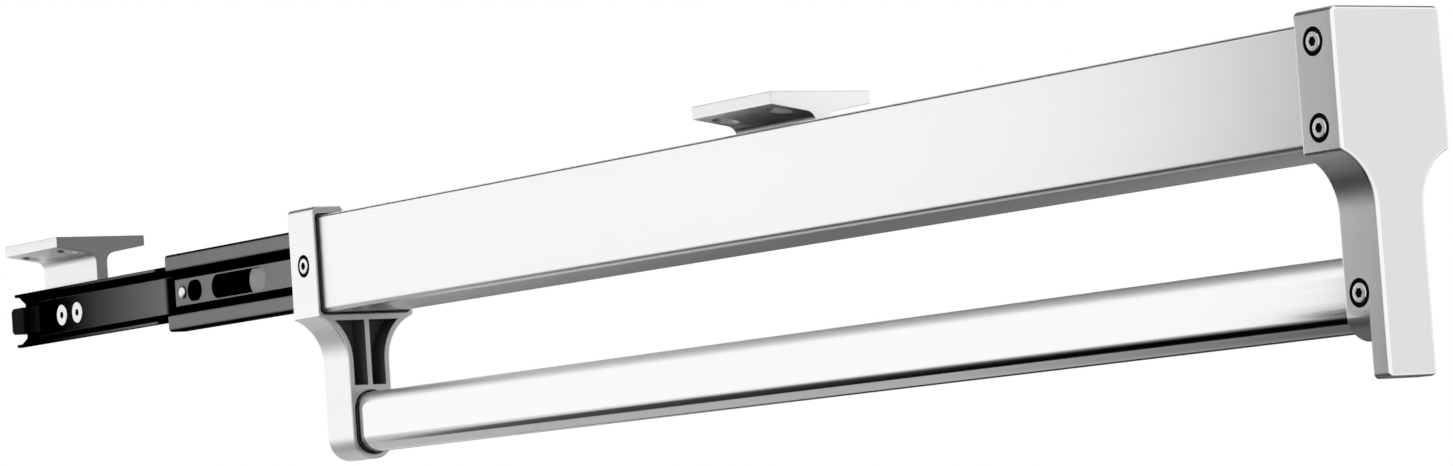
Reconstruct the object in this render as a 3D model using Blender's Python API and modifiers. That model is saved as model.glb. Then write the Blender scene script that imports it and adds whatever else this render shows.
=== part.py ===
"""Pull-out hanging rail for trouser hangers, made for the underside of a wardrobe shelf.

Two T-shaped ceiling brackets hold the fixed rail of a telescopic ball slide. A hat-shaped intermediate
rail runs on it, and the carriage runs on the intermediate rail: an aluminium housing profile with a
cast bracket at each end, and an oval hanging rail between the two bracket legs.

All sizes are metres. +X is the pull-out direction, -Y the long side with the screw heads and +Z is up.
The origin is the middle of the rear ceiling bracket's top face, which is screwed to the shelf. The slide
is modelled half pulled out.
"""
import math

import bmesh
import bpy
from mathutils import Matrix, Vector

# Gaps between pieces
CLEARANCE = 0.0003
BALL_CLEARANCE = 0.00015
CURL_CLEARANCE = 0.0004

# Ceiling brackets, extruded T section
PLATE_WIDTH = 0.037
PLATE_LENGTH = 0.0426
PLATE_EDGE_THICKNESS = 0.0039
PLATE_ROOT_THICKNESS = 0.0066
STEM_THICKNESS = 0.0047
STEM_FILLET = 0.0035
STEM_TAIL = 0.0015
PLATE_HOLE_DIAMETER = 0.0043
PLATE_SINK_DIAMETER = 0.0083
PLATE_HOLE_PITCH_X = 0.0286
PLATE_HOLE_PITCH_Y = 0.023

# Ball slide, section
INTERMEDIATE_HEIGHT = 0.028
INTERMEDIATE_DEPTH = 0.008
SLIDE_SHEET = 0.0012
FLANGE_TURN = 0.0014
STRIP_HEIGHT = 0.0095
LIP_HEIGHT = 0.0056
CURL_HEIGHT = 0.0024
FLANGE_AHEAD = 0.0013
FLANGE_BEHIND = 0.0011
BALL_DIAMETER = 0.003
GROOVE_DEPTH = 0.00035
CAGE_SHEET = 0.0004
CAGE_GAP = 0.0004
CAGE_STRIP_THICKNESS = 0.0007
CAGE_STRIP_WIDTH = 0.0048
OUTER_BALL_DIAMETER = 0.00195
OUTER_BALL_DEPTH = 0.00245
OUTER_GROOVE_DEPTH = 0.0004
OUTER_CAGE_SHEET = 0.0005
OUTER_CAGE_WIDTH = 0.0034

# Ball slide, lengths and travel
FIXED_RAIL_LENGTH = 0.540
FIXED_RAIL_OVERHANG = 0.0356
FRONT_OVERHANG = 0.0371
INTERMEDIATE_LENGTH = 0.540
INTERMEDIATE_SETBACK = 0.0066
STAGE_TRAVEL = 0.219
INTERMEDIATE_PULLED = 0.119
CARRIAGE_PULLED = 0.105
INNER_CAGE_LENGTH = 0.200
INNER_CAGE_END_GAP = 0.002
CAGE_NOSE_RADIUS = 0.005
CAGE_WINDOWS = 3
CAGE_WINDOW_LENGTH = 0.036
CAGE_WINDOW_HEIGHT = 0.006
OUTER_CAGE_LENGTH = 0.200
OUTER_CAGE_END_GAP = 0.010
BALLS_PER_ROW = 6
STOP_RIVET_OFFSET = 0.0055
STOP_RIVET_HEAD_DIAMETER = 0.0046
STOP_RIVET_HEAD_HEIGHT = 0.0009
STOP_RIVET_SHANK_DIAMETER = 0.003
ACCESS_HOLE_OFFSET = 0.009
ACCESS_HOLE_LENGTH = 0.0107
ACCESS_HOLE_HEIGHT = 0.0076
ACCESS_SLOT_OFFSET = 0.027
ACCESS_SLOT_LENGTH = 0.039
ACCESS_SLOT_HEIGHT = 0.0086

# Rear stop buffer on the fixed rail
BUFFER_HEIGHT = 0.010
BUFFER_NOSE_RADIUS = 0.0035
BUFFER_NOSE_REACH = 0.0051
BUFFER_STRIP_GAP = 0.0007
BUFFER_NOSE_THICKNESS = 0.0052
BUFFER_TONGUE_LENGTH = 0.013
BUFFER_TONGUE_THICKNESS = 0.00085
BUFFER_PEG_DIAMETER = 0.003
BUFFER_PEG_INSET = 0.0035

# Housing profile
CEILING_GAP = 0.0074
PROFILE_WIDTH = 0.0342
PROFILE_WALL = 0.0013
PROFILE_SLOT_WIDTH = 0.013
PROFILE_TOP_RADIUS = 0.0012
PROFILE_BOTTOM_RADIUS = 0.002
CARRIAGE_LENGTH = 0.550

# Cast end brackets
RING_TOP_WALL = 0.003
RING_SIDE_WALL = 0.0016
RING_BOTTOM_WALL = 0.0011
RING_CORNER_RADIUS = 0.0014
RING_SLOT_RADIUS = 0.002
CAST_EDGE = 0.0008
FRONT_DEPTH = 0.0158
FRONT_WALL = 0.003
FRONT_SOCKET_FLOOR = 0.0045
REAR_DEPTH = 0.017
REAR_LIP = 0.003
REAR_SOCKET_FLOOR = 0.004
NECK_DROP = 0.0153
LEG_WALL = 0.002
HANDLE_THICKNESS = 0.0062
HANDLE_REACH = 0.0104
HANDLE_CORNER_RADIUS = 0.0015
POCKET_WALL = 0.002
POCKET_RIB = 0.0018
POCKET_ROOF = 0.0014
POCKET_FLOOR = 0.0022
POCKET_DEPTH = 0.0085

# Closing buffer inside the front bracket
CLOSING_BUFFER_DIAMETER = 0.008
CLOSING_BUFFER_LENGTH = 0.0062
CLOSING_PEG_DIAMETER = 0.003
CLOSING_PEG_LENGTH = 0.0015

# Oval hanging rail
TUBE_HEIGHT = 0.0208
TUBE_WIDTH = 0.012
TUBE_WALL = 0.0012
HANGER_GAP = 0.0265

# Cap screws of the carriage
CAP_HEAD_DIAMETER = 0.0054
CAP_HEAD_HEIGHT = 0.0009
CAP_SHANK_DIAMETER = 0.003
CAP_HEX = 0.0025
CAP_HEX_DEPTH = 0.0008
COUNTERBORE_DIAMETER = 0.0075
COUNTERBORE_DEPTH = 0.001
SCREW_TIP = 0.0005
FRONT_SCREW_INSET = 0.0082
FRONT_SCREW_SPREAD = 0.0229
REAR_SCREW_INSET = 0.009
LEG_SCREW_INSET = 0.0096

# Countersunk screws of the fixed rail
SUNK_HEAD_DIAMETER = 0.008
SUNK_HEAD_RIM = 0.0003
SUNK_SHANK_DIAMETER = 0.004
SUNK_HEX = 0.0025
SUNK_HEX_DEPTH = 0.0012
SUNK_SCREW_PITCH = 0.0124

# Facets; outlines are drawn in millimetres, because curve filling is too coarse for small metre values
ARC_STEP = math.radians(18)
SMOOTH_ANGLE = math.radians(30)
ROUND_SIDES = 16
TURN_STEPS = 20
DRAW_SCALE = 1000

# Slide depths, measured from the plane of the intermediate rail's lips towards the bracket stems.
# The rails' sheet turns through 45 degrees, which shifts its inner bends by BEND.
BEND = SLIDE_SHEET * math.tan(math.radians(22.5))
CAGE_BEND = CAGE_SHEET * math.tan(math.radians(22.5))
BALL_RADIUS = BALL_DIAMETER / 2
POCKET_RADIUS = BALL_RADIUS + BALL_CLEARANCE
GROOVE_RADIUS = BALL_RADIUS + BALL_CLEARANCE
LIP_BACK = SLIDE_SHEET
CAGE_FRONT = LIP_BACK + CAGE_GAP
BALL_DEPTH = CAGE_FRONT + CAGE_SHEET + BALL_CLEARANCE + POCKET_RADIUS
FLANGE_START = BALL_DEPTH - FLANGE_AHEAD
FLANGE_END = BALL_DEPTH + FLANGE_BEHIND
CAGE_TAIL = CAGE_FRONT + CAGE_STRIP_WIDTH
STEM_FACE = INTERMEDIATE_DEPTH + CURL_CLEARANCE
RAIL_WEB_BACK = STEM_FACE - CLEARANCE
RAIL_WEB_FRONT = RAIL_WEB_BACK - SLIDE_SHEET
OUTER_BALL_RADIUS = OUTER_BALL_DIAMETER / 2
OUTER_GROOVE_RADIUS = OUTER_BALL_RADIUS + BALL_CLEARANCE

# Slide heights, measured from the slide's centre line
HALF_HEIGHT = INTERMEDIATE_HEIGHT / 2
LIP_EDGE = HALF_HEIGHT - LIP_HEIGHT
STRIP_EDGE = STRIP_HEIGHT / 2
STRIP_FRONT = LIP_EDGE - STRIP_EDGE
STRIP_BACK = STRIP_FRONT + SLIDE_SHEET
CAGE_WEB_FRONT = STRIP_BACK + CAGE_GAP
CAGE_WEB_BACK = CAGE_WEB_FRONT + CAGE_SHEET
FLANGE_FACE = HALF_HEIGHT - SLIDE_SHEET
BALL_LEVEL = FLANGE_FACE + GROOVE_DEPTH - GROOVE_RADIUS
RAIL_FACE = BALL_LEVEL - GROOVE_RADIUS + GROOVE_DEPTH
RAIL_WEB_EDGE = RAIL_FACE - (RAIL_WEB_BACK - FLANGE_END)
CAGE_INNER = BALL_LEVEL - CAGE_STRIP_THICKNESS / 2
CAGE_OUTER = BALL_LEVEL + CAGE_STRIP_THICKNESS / 2
OUTER_BALL_LEVEL = HALF_HEIGHT - OUTER_GROOVE_DEPTH + OUTER_GROOVE_RADIUS
CAVITY_HALF_HEIGHT = OUTER_BALL_LEVEL + OUTER_GROOVE_RADIUS - OUTER_GROOVE_DEPTH

# Places across the part
SLIDE_FRONT = -STEM_THICKNESS / 2 - STEM_FACE
PROFILE_HALF_WIDTH = PROFILE_WIDTH / 2
CAVITY_HALF_WIDTH = PROFILE_HALF_WIDTH - PROFILE_WALL
BORE_HALF_WIDTH = PROFILE_HALF_WIDTH + CLEARANCE
RING_HALF_WIDTH = BORE_HALF_WIDTH + RING_SIDE_WALL
SLOT_HALF_WIDTH = PROFILE_SLOT_WIDTH / 2
TUBE_RADIUS = TUBE_WIDTH / 2
SOCKET_RADIUS = TUBE_RADIUS + CLEARANCE
LEG_HALF_WIDTH = SOCKET_RADIUS + LEG_WALL

# Places up the part
RING_TOP = -CEILING_GAP
PROFILE_TOP = RING_TOP - RING_TOP_WALL - CLEARANCE
CAVITY_TOP = PROFILE_TOP - PROFILE_WALL
SLIDE_LEVEL = CAVITY_TOP - CAVITY_HALF_HEIGHT
CAVITY_BOTTOM = SLIDE_LEVEL - CAVITY_HALF_HEIGHT
PROFILE_BOTTOM = CAVITY_BOTTOM - PROFILE_WALL
RING_BOTTOM = PROFILE_BOTTOM - CLEARANCE - RING_BOTTOM_WALL
STEM_BOTTOM = SLIDE_LEVEL - RAIL_WEB_EDGE - STEM_TAIL
TUBE_TOP = RING_BOTTOM - HANGER_GAP
TUBE_LEVEL = TUBE_TOP - TUBE_HEIGHT / 2
LEG_ROUND_LEVEL = TUBE_LEVEL - (TUBE_HEIGHT / 2 - TUBE_RADIUS)
NECK_BOTTOM = RING_BOTTOM - NECK_DROP
HANDLE_BOTTOM = LEG_ROUND_LEVEL - LEG_HALF_WIDTH - HANDLE_REACH
POCKET_TOP = RING_BOTTOM - POCKET_ROOF
POCKET_BOTTOM = TUBE_TOP + CLEARANCE + POCKET_FLOOR

# The neck arc leaves the ring's lower corner and runs into the leg's side
NECK_INSET = RING_HALF_WIDTH - LEG_HALF_WIDTH
NECK_RADIUS = (NECK_INSET ** 2 + NECK_DROP ** 2) / (2 * NECK_INSET)
NECK_CENTRE = LEG_HALF_WIDTH + NECK_RADIUS
NECK_SWEEP = math.atan2(NECK_DROP, NECK_RADIUS - NECK_INSET)

# Places along the part
FIXED_RAIL_REAR = -FIXED_RAIL_OVERHANG
FIXED_RAIL_FRONT = FIXED_RAIL_REAR + FIXED_RAIL_LENGTH
BRACKET_SPACING = FIXED_RAIL_FRONT - FRONT_OVERHANG
INTERMEDIATE_REAR = FIXED_RAIL_REAR + INTERMEDIATE_SETBACK + INTERMEDIATE_PULLED
INTERMEDIATE_FRONT = INTERMEDIATE_REAR + INTERMEDIATE_LENGTH
CARRIAGE_REAR = INTERMEDIATE_REAR + CARRIAGE_PULLED
CARRIAGE_FRONT = CARRIAGE_REAR + CARRIAGE_LENGTH
PROFILE_REAR = CARRIAGE_REAR + REAR_LIP + CLEARANCE
PROFILE_FRONT = CARRIAGE_FRONT - FRONT_WALL - CLEARANCE
FRONT_RIM = CARRIAGE_FRONT - FRONT_DEPTH
REAR_RIM = CARRIAGE_REAR + REAR_DEPTH
FRONT_SCREW_X = CARRIAGE_FRONT - FRONT_SCREW_INSET
REAR_SCREW_X = CARRIAGE_REAR + REAR_SCREW_INSET
LEG_SCREW_X = CARRIAGE_FRONT - LEG_SCREW_INSET
STOP_RIVET_X = INTERMEDIATE_REAR + STOP_RIVET_OFFSET
BUFFER_TONGUE_END = FIXED_RAIL_REAR + BUFFER_TONGUE_LENGTH
BUFFER_PEG_X = BUFFER_TONGUE_END - BUFFER_PEG_INSET
CLOSING_BUFFER_Y = SLIDE_FRONT + (STRIP_FRONT + STRIP_BACK) / 2

# A cage moves half as far as the rail outside it, so at full travel it still clears that rail's end
INNER_CAGE_START = INTERMEDIATE_REAR + (STAGE_TRAVEL - INTERMEDIATE_PULLED) / 2 + INNER_CAGE_END_GAP
OUTER_CAGE_START = REAR_RIM + (STAGE_TRAVEL - CARRIAGE_PULLED) / 2 + OUTER_CAGE_END_GAP

# Cutters run this far past the faces that they open
OVERCUT = 0.001

# Outline planes: an outline drawn along X lies in (Y, Z), along Y in (X, Z) and along Z in (X, Y)
ALONG_X = Matrix(((0, 0, 1, 0), (1, 0, 0, 0), (0, 1, 0, 0), (0, 0, 0, 1)))
ALONG_Y = Matrix(((1, 0, 0, 0), (0, 0, -1, 0), (0, 1, 0, 0), (0, 0, 0, 1)))
ALONG_Z = Matrix.Identity(4)


def new_collection(name):
    collection = bpy.data.collections.new(name)
    bpy.context.scene.collection.children.link(collection)
    return collection


for leftover in list(bpy.data.objects):
    bpy.data.objects.remove(leftover, do_unlink=True)

PARTS = new_collection("pull_out_hanging_rail")
CUTTERS = new_collection("cutters")


# Materials
def material(name, colour, metallic, roughness):
    made = bpy.data.materials.new(name)
    made.use_nodes = True
    shader = made.node_tree.nodes["Principled BSDF"]
    shader.inputs["Base Color"].default_value = (*colour, 1.0)
    shader.inputs["Metallic"].default_value = metallic
    shader.inputs["Roughness"].default_value = roughness
    made.diffuse_color = (*colour, 1.0)
    return made


SATIN_ALUMINIUM = material("satin_aluminium", (0.82, 0.83, 0.84), 1.0, 0.32)
BRIGHT_ALUMINIUM = material("bright_aluminium", (0.88, 0.88, 0.89), 1.0, 0.18)
CAST_METAL = material("cast_metal", (0.74, 0.74, 0.75), 1.0, 0.38)
BLACK_STEEL = material("black_steel", (0.025, 0.025, 0.027), 0.7, 0.42)
BARE_STEEL = material("bare_steel", (0.62, 0.62, 0.63), 1.0, 0.28)
BLACK_PLASTIC = material("black_plastic", (0.015, 0.015, 0.016), 0.0, 0.5)


# Outlines
def arc(centre_u, centre_v, radius, start, end):
    """Points along an arc, both ends included, with angles in radians."""
    steps = max(2, math.ceil(abs(end - start) / ARC_STEP))
    points = []
    for step in range(steps + 1):
        angle = start + (end - start) * step / steps
        points.append((centre_u + radius * math.cos(angle), centre_v + radius * math.sin(angle)))
    return points


def rounded(corners):
    """Closed outline through (u, v, radius) corners, each turned into an arc of its radius."""
    points = []
    for index, (u, v, radius) in enumerate(corners):
        if radius == 0:
            points.append((u, v))
            continue
        corner = Vector((u, v))
        back = (Vector(corners[index - 1][:2]) - corner).normalized()
        ahead = (Vector(corners[(index + 1) % len(corners)][:2]) - corner).normalized()
        half_angle = back.angle(ahead) / 2
        centre = corner + (back + ahead).normalized() * (radius / math.sin(half_angle))
        first = corner + back * (radius / math.tan(half_angle)) - centre
        turn = math.pi - 2 * half_angle
        if back.cross(ahead) > 0:
            turn = -turn
        start = math.atan2(first.y, first.x)
        points.extend(arc(centre.x, centre.y, radius, start, start + turn))
    return points


def mirrored(points):
    """The same points on the other side of the v axis, in reverse order."""
    return [(-u, v) for u, v in reversed(points)]


def circle(centre_u, centre_v, radius):
    return arc(centre_u, centre_v, radius, 0, 2 * math.pi)[:-1]


def upright_oval(width, height, centre_v):
    """Upright oval with half-round ends."""
    radius = width / 2
    flat = height / 2 - radius
    upper = arc(0, centre_v + flat, radius, 0, math.pi)
    lower = arc(0, centre_v - flat, radius, math.pi, 2 * math.pi)
    return upper + lower


def lying_slot(start_u, length, height, centre_v):
    """Level slot with half-round ends."""
    radius = height / 2
    right = arc(start_u + length - radius, centre_v, radius, -math.pi / 2, math.pi / 2)
    left = arc(start_u + radius, centre_v, radius, math.pi / 2, 1.5 * math.pi)
    return right + left


def groove_below(centre_u, centre_v, radius, depth):
    """Round groove in a face below a ball, followed towards growing u."""
    reach = math.acos((radius - depth) / radius)
    return arc(centre_u, centre_v, radius, -math.pi / 2 - reach, -math.pi / 2 + reach)


def groove_above(centre_u, centre_v, radius, depth):
    """Round groove in a face above a ball, followed towards falling u."""
    reach = math.acos((radius - depth) / radius)
    return arc(centre_u, centre_v, radius, math.pi / 2 - reach, math.pi / 2 + reach)


def slide_section(upper):
    """Whole section from its upper half of (depth, height) points, put in its place on the part."""
    lower = [(depth, -height) for depth, height in reversed(upper)]
    return [(SLIDE_FRONT + depth, SLIDE_LEVEL + height) for depth, height in upper + lower]


# Solids
def place(piece, finish):
    """Put a piece among the parts and give it its material."""
    for holder in list(piece.users_collection):
        holder.objects.unlink(piece)
    PARTS.objects.link(piece)
    piece.data.materials.clear()
    piece.data.materials.append(finish)
    return piece


def as_cutter(piece):
    """Keep a shape as a cutter, out of sight."""
    for holder in list(piece.users_collection):
        holder.objects.unlink(piece)
    CUTTERS.objects.link(piece)
    piece.hide_render = True
    piece.display_type = "WIRE"
    return piece


def prism(name, loops, plane, start, end):
    """Flat outline with any holes, drawn out between two places on the axis across its plane."""
    curve = bpy.data.curves.new(name, "CURVE")
    curve.dimensions = "2D"
    curve.fill_mode = "BOTH"
    curve.extrude = (end - start) / 2 * DRAW_SCALE
    for loop in loops:
        spline = curve.splines.new("POLY")
        spline.points.add(len(loop) - 1)
        for point, (u, v) in zip(spline.points, loop):
            point.co = (u * DRAW_SCALE, v * DRAW_SCALE, 0, 1)
        spline.use_cyclic_u = True
    drawn = bpy.data.objects.new(name, curve)
    bpy.context.scene.collection.objects.link(drawn)
    bpy.context.view_layer.update()
    evaluated = drawn.evaluated_get(bpy.context.evaluated_depsgraph_get())
    mesh = bpy.data.meshes.new_from_object(evaluated)
    bpy.data.objects.remove(drawn, do_unlink=True)
    mesh.name = name
    mesh.transform(plane @ Matrix.Translation((0, 0, (start + end) / 2)) @ Matrix.Scale(1 / DRAW_SCALE, 4))
    shape = bmesh.new()
    shape.from_mesh(mesh)
    bmesh.ops.remove_doubles(shape, verts=shape.verts, dist=1e-6)
    bmesh.ops.recalc_face_normals(shape, faces=shape.faces)
    shape.to_mesh(mesh)
    shape.free()
    mesh.shade_smooth()
    mesh.set_sharp_from_angle(angle=SMOOTH_ANGLE)
    solid = bpy.data.objects.new(name, mesh)
    bpy.context.scene.collection.objects.link(solid)
    return solid


def along_x(name, loops, start, end):
    return prism(name, loops, ALONG_X, start, end)


def along_y(name, loops, start, end):
    return prism(name, loops, ALONG_Y, -end, -start)


def along_z(name, loops, start, end):
    return prism(name, loops, ALONG_Z, start, end)


def cylinder(name, diameter, start, end, sides=ROUND_SIDES):
    """Cylinder between two points."""
    axis = Vector(end) - Vector(start)
    bpy.ops.mesh.primitive_cylinder_add(
        vertices=sides,
        radius=diameter / 2,
        depth=axis.length,
        location=(Vector(start) + Vector(end)) / 2,
        rotation=axis.to_track_quat("Z", "Y").to_euler(),
    )
    made = bpy.context.object
    made.name = name
    return made


def turned(name, profile, seat, facing):
    """Round solid: (radius, height) points, top to bottom, turned about the axis that facing points along."""
    mesh = bpy.data.meshes.new(name)
    points = [(radius, 0, height) for radius, height in profile]
    mesh.from_pydata(points, [(i, i + 1) for i in range(len(points) - 1)], [])
    solid = bpy.data.objects.new(name, mesh)
    solid.location = seat
    solid.rotation_euler = Vector(facing).to_track_quat("Z", "Y").to_euler()
    spin = solid.modifiers.new("turn", "SCREW")
    spin.steps = TURN_STEPS
    spin.render_steps = TURN_STEPS
    spin.use_merge_vertices = True
    spin.merge_threshold = 1e-6
    bpy.context.scene.collection.objects.link(solid)
    return solid


def boolean(piece, tool, operation):
    modifier = piece.modifiers.new(f"{operation.lower()}_{tool.name}", "BOOLEAN")
    modifier.operation = operation
    modifier.solver = "EXACT"
    modifier.object = as_cutter(tool)


def cut(piece, tool):
    """Take a shape out of a piece."""
    boolean(piece, tool, "DIFFERENCE")


def join(piece, tool):
    """Make a shape one solid with a piece that it overlaps."""
    boolean(piece, tool, "UNION")


def cut_hole(piece, name, diameter, start, end):
    cut(piece, cylinder(name, diameter, start, end))


def soften(piece, width):
    """Round the sharp edges of a cast piece."""
    modifier = piece.modifiers.new("cast_edges", "BEVEL")
    modifier.width = width
    modifier.segments = 2
    modifier.limit_method = "ANGLE"
    modifier.angle_limit = math.radians(50)


# Sliding groups
def carry(name, x, pieces):
    """Empty on a sliding group's axis, with the group's pieces as its children, each where it was."""
    empty = bpy.data.objects.new(name, None)
    empty.location = (x, SLIDE_FRONT, SLIDE_LEVEL)
    PARTS.objects.link(empty)
    bpy.context.view_layer.update()
    for piece in pieces:
        piece.parent = empty
        piece.matrix_parent_inverse = empty.matrix_world.inverted()


# Ceiling brackets and the screws that hold the fixed rail to them
def ceiling_bracket(name, x):
    """T bracket: tapered plate against the shelf, stem down behind the fixed rail."""
    half_plate = PLATE_WIDTH / 2
    half_stem = STEM_THICKNESS / 2
    left = [
        (-half_plate, 0, 0),
        (-half_plate, -PLATE_EDGE_THICKNESS, 0),
        (-half_stem, -PLATE_ROOT_THICKNESS, STEM_FILLET),
        (-half_stem, STEM_BOTTOM, 0),
    ]
    right = [(-y, z, radius) for y, z, radius in reversed(left)]
    half_length = PLATE_LENGTH / 2
    bracket = place(along_x(name, [rounded(left + right)], x - half_length, x + half_length), CAST_METAL)
    for side_x in (-1, 1):
        for side_y in (-1, 1):
            cut(bracket, plate_hole(x + side_x * PLATE_HOLE_PITCH_X / 2, side_y * PLATE_HOLE_PITCH_Y / 2))
    for screw_x in sunk_screw_places(x):
        cut(bracket, sunk_screw_shape("stem_hole", screw_x, CLEARANCE))
    return bracket


def plate_hole(x, y):
    """Cutter for a shelf screw's hole, countersunk from below."""
    radius = PLATE_HOLE_DIAMETER / 2
    sink = PLATE_SINK_DIAMETER / 2
    taper = (PLATE_ROOT_THICKNESS - PLATE_EDGE_THICKNESS) / (PLATE_WIDTH / 2 - STEM_THICKNESS / 2)
    underside = -PLATE_EDGE_THICKNESS - taper * (PLATE_WIDTH / 2 - abs(y))
    profile = [
        (0, OVERCUT),
        (radius, OVERCUT),
        (radius, underside + sink - radius),
        (sink + OVERCUT, underside - OVERCUT),
        (0, underside - OVERCUT),
    ]
    return turned("plate_hole", profile, (x, y, 0), (0, 0, 1))


def sunk_screw_places(bracket_x):
    return (bracket_x - SUNK_SCREW_PITCH / 2, bracket_x + SUNK_SCREW_PITCH / 2)


def sunk_screw_shape(name, x, play):
    """Countersunk screw flush with the fixed rail's web; with play, the cutter for its hole."""
    head = SUNK_HEAD_DIAMETER / 2 + play
    shank = SUNK_SHANK_DIAMETER / 2 + play
    top = OVERCUT if play else 0
    end = -(SLIDE_SHEET + CLEARANCE + STEM_THICKNESS) - top
    profile = [
        (0, top),
        (head, top),
        (head, -SUNK_HEAD_RIM),
        (shank, -SUNK_HEAD_RIM - head + shank),
        (shank, end),
        (0, end),
    ]
    return turned(name, profile, (x, SLIDE_FRONT + RAIL_WEB_FRONT, SLIDE_LEVEL), (0, -1, 0))


def cut_hex(screw, x, face_y, level, width, depth):
    """Hexagon socket in a screw head that faces -Y."""
    outer = (x, face_y - OVERCUT, level)
    floor = (x, face_y + depth, level)
    cut(screw, cylinder(screw.name + "_hex", 2 * width / math.sqrt(3), outer, floor, sides=6))


def rail_screw(name, x):
    """Screw through the fixed rail's web into a bracket stem."""
    screw = place(sunk_screw_shape(name, x, 0), BARE_STEEL)
    cut_hex(screw, x, SLIDE_FRONT + RAIL_WEB_FRONT, SLIDE_LEVEL, SUNK_HEX, SUNK_HEX_DEPTH)
    return screw


# Slide rails
def fixed_rail_section():
    """Channel open to -Y: web, 45 degree shoulders and two flanges, grooved outside for the balls."""
    upper = [
        (RAIL_WEB_FRONT, RAIL_WEB_EDGE - BEND),
        (FLANGE_END - BEND, RAIL_FACE - SLIDE_SHEET),
        (FLANGE_START, RAIL_FACE - SLIDE_SHEET),
        (FLANGE_START, RAIL_FACE),
    ]
    upper += groove_below(BALL_DEPTH, BALL_LEVEL, GROOVE_RADIUS, GROOVE_DEPTH)
    upper += [(FLANGE_END, RAIL_FACE), (RAIL_WEB_BACK, RAIL_WEB_EDGE)]
    return slide_section(upper)


def intermediate_section():
    """Hat of one sheet: strip, 45 degree valley, lip, outer flange with both raceways, and end curl."""
    turn = FLANGE_TURN
    upper = [(STRIP_FRONT, STRIP_EDGE), (0, LIP_EDGE)]
    upper += arc(turn, HALF_HEIGHT - turn, turn, math.pi, math.pi / 2)
    upper += groove_below(OUTER_BALL_DEPTH, OUTER_BALL_LEVEL, OUTER_GROOVE_RADIUS, OUTER_GROOVE_DEPTH)
    upper += arc(INTERMEDIATE_DEPTH - turn, HALF_HEIGHT - turn, turn, math.pi / 2, 0)
    upper += [
        (INTERMEDIATE_DEPTH, HALF_HEIGHT - CURL_HEIGHT),
        (INTERMEDIATE_DEPTH - SLIDE_SHEET, HALF_HEIGHT - CURL_HEIGHT),
        (INTERMEDIATE_DEPTH - SLIDE_SHEET, FLANGE_FACE),
    ]
    upper += groove_above(BALL_DEPTH, BALL_LEVEL, GROOVE_RADIUS, GROOVE_DEPTH)
    upper += [(LIP_BACK, FLANGE_FACE), (LIP_BACK, LIP_EDGE + BEND), (STRIP_BACK, STRIP_EDGE + BEND)]
    return slide_section(upper)


def inner_cage_section():
    """Thin sheet that follows the back of the intermediate rail, with a thicker strip for each ball row."""
    inner_front = CAGE_FRONT + CAGE_SHEET
    upper = [
        (CAGE_WEB_FRONT, STRIP_EDGE + BEND),
        (CAGE_FRONT, LIP_EDGE + BEND),
        (CAGE_FRONT, CAGE_OUTER),
        (CAGE_TAIL, CAGE_OUTER),
        (CAGE_TAIL, CAGE_INNER),
        (inner_front, CAGE_INNER),
        (inner_front, LIP_EDGE + BEND + CAGE_BEND),
        (CAGE_WEB_BACK, STRIP_EDGE + BEND + CAGE_BEND),
    ]
    return slide_section(upper)


def fixed_slide_rail():
    """Rail on the ceiling brackets, cut square at both ends."""
    section = fixed_rail_section()
    rail = place(along_x("fixed_slide_rail", [section], FIXED_RAIL_REAR, FIXED_RAIL_FRONT), BLACK_STEEL)
    for bracket_x in (0, BRACKET_SPACING):
        for x in sunk_screw_places(bracket_x):
            cut(rail, sunk_screw_shape("rail_hole", x, CLEARANCE))
    web = SLIDE_FRONT + RAIL_WEB_FRONT
    peg_front = (BUFFER_PEG_X, web - OVERCUT, SLIDE_LEVEL)
    peg_back = (BUFFER_PEG_X, SLIDE_FRONT + RAIL_WEB_BACK + OVERCUT, SLIDE_LEVEL)
    cut_hole(rail, "buffer_peg_hole", BUFFER_PEG_DIAMETER + 2 * CLEARANCE, peg_front, peg_back)
    return rail


def rear_stop_buffer():
    """Moulded stop in the rail's rear end: a nose that stops the strip, and a tongue pegged to the web."""
    web = SLIDE_FRONT + RAIL_WEB_FRONT
    back = web + SLIDE_SHEET
    tongue_back = web - CLEARANCE
    tongue_front = tongue_back - BUFFER_TONGUE_THICKNESS
    tip = FIXED_RAIL_REAR - BUFFER_NOSE_REACH
    shoulder = FIXED_RAIL_REAR + INTERMEDIATE_SETBACK - BUFFER_STRIP_GAP
    nose_front = back - BUFFER_NOSE_THICKNESS
    outline = [
        (tip, nose_front),
        (shoulder, nose_front),
        (shoulder, tongue_front),
        (BUFFER_TONGUE_END, tongue_front),
        (BUFFER_TONGUE_END, tongue_back),
        (FIXED_RAIL_REAR - CLEARANCE, tongue_back),
        (FIXED_RAIL_REAR - CLEARANCE, back),
        (tip, back),
    ]
    half = BUFFER_HEIGHT / 2
    buffer = along_z("rear_stop_buffer", [outline], SLIDE_LEVEL - half, SLIDE_LEVEL + half)
    place(buffer, BLACK_PLASTIC)
    radius = BUFFER_NOSE_RADIUS
    corner = arc(tip + radius, half - radius, radius, math.pi, math.pi / 2)
    corner += [(tip + radius, half + OVERCUT), (tip - OVERCUT, half + OVERCUT), (tip - OVERCUT, half - radius)]
    for side in (-1, 1):
        loop = [(x, SLIDE_LEVEL + side * height) for x, height in corner]
        cut(buffer, along_y("buffer_nose_corner", [loop], nose_front - OVERCUT, back + OVERCUT))
    peg_root = (BUFFER_PEG_X, (tongue_front + tongue_back) / 2, SLIDE_LEVEL)
    peg_tip = (BUFFER_PEG_X, back, SLIDE_LEVEL)
    join(buffer, cylinder("buffer_peg", BUFFER_PEG_DIAMETER, peg_root, peg_tip))


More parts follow.
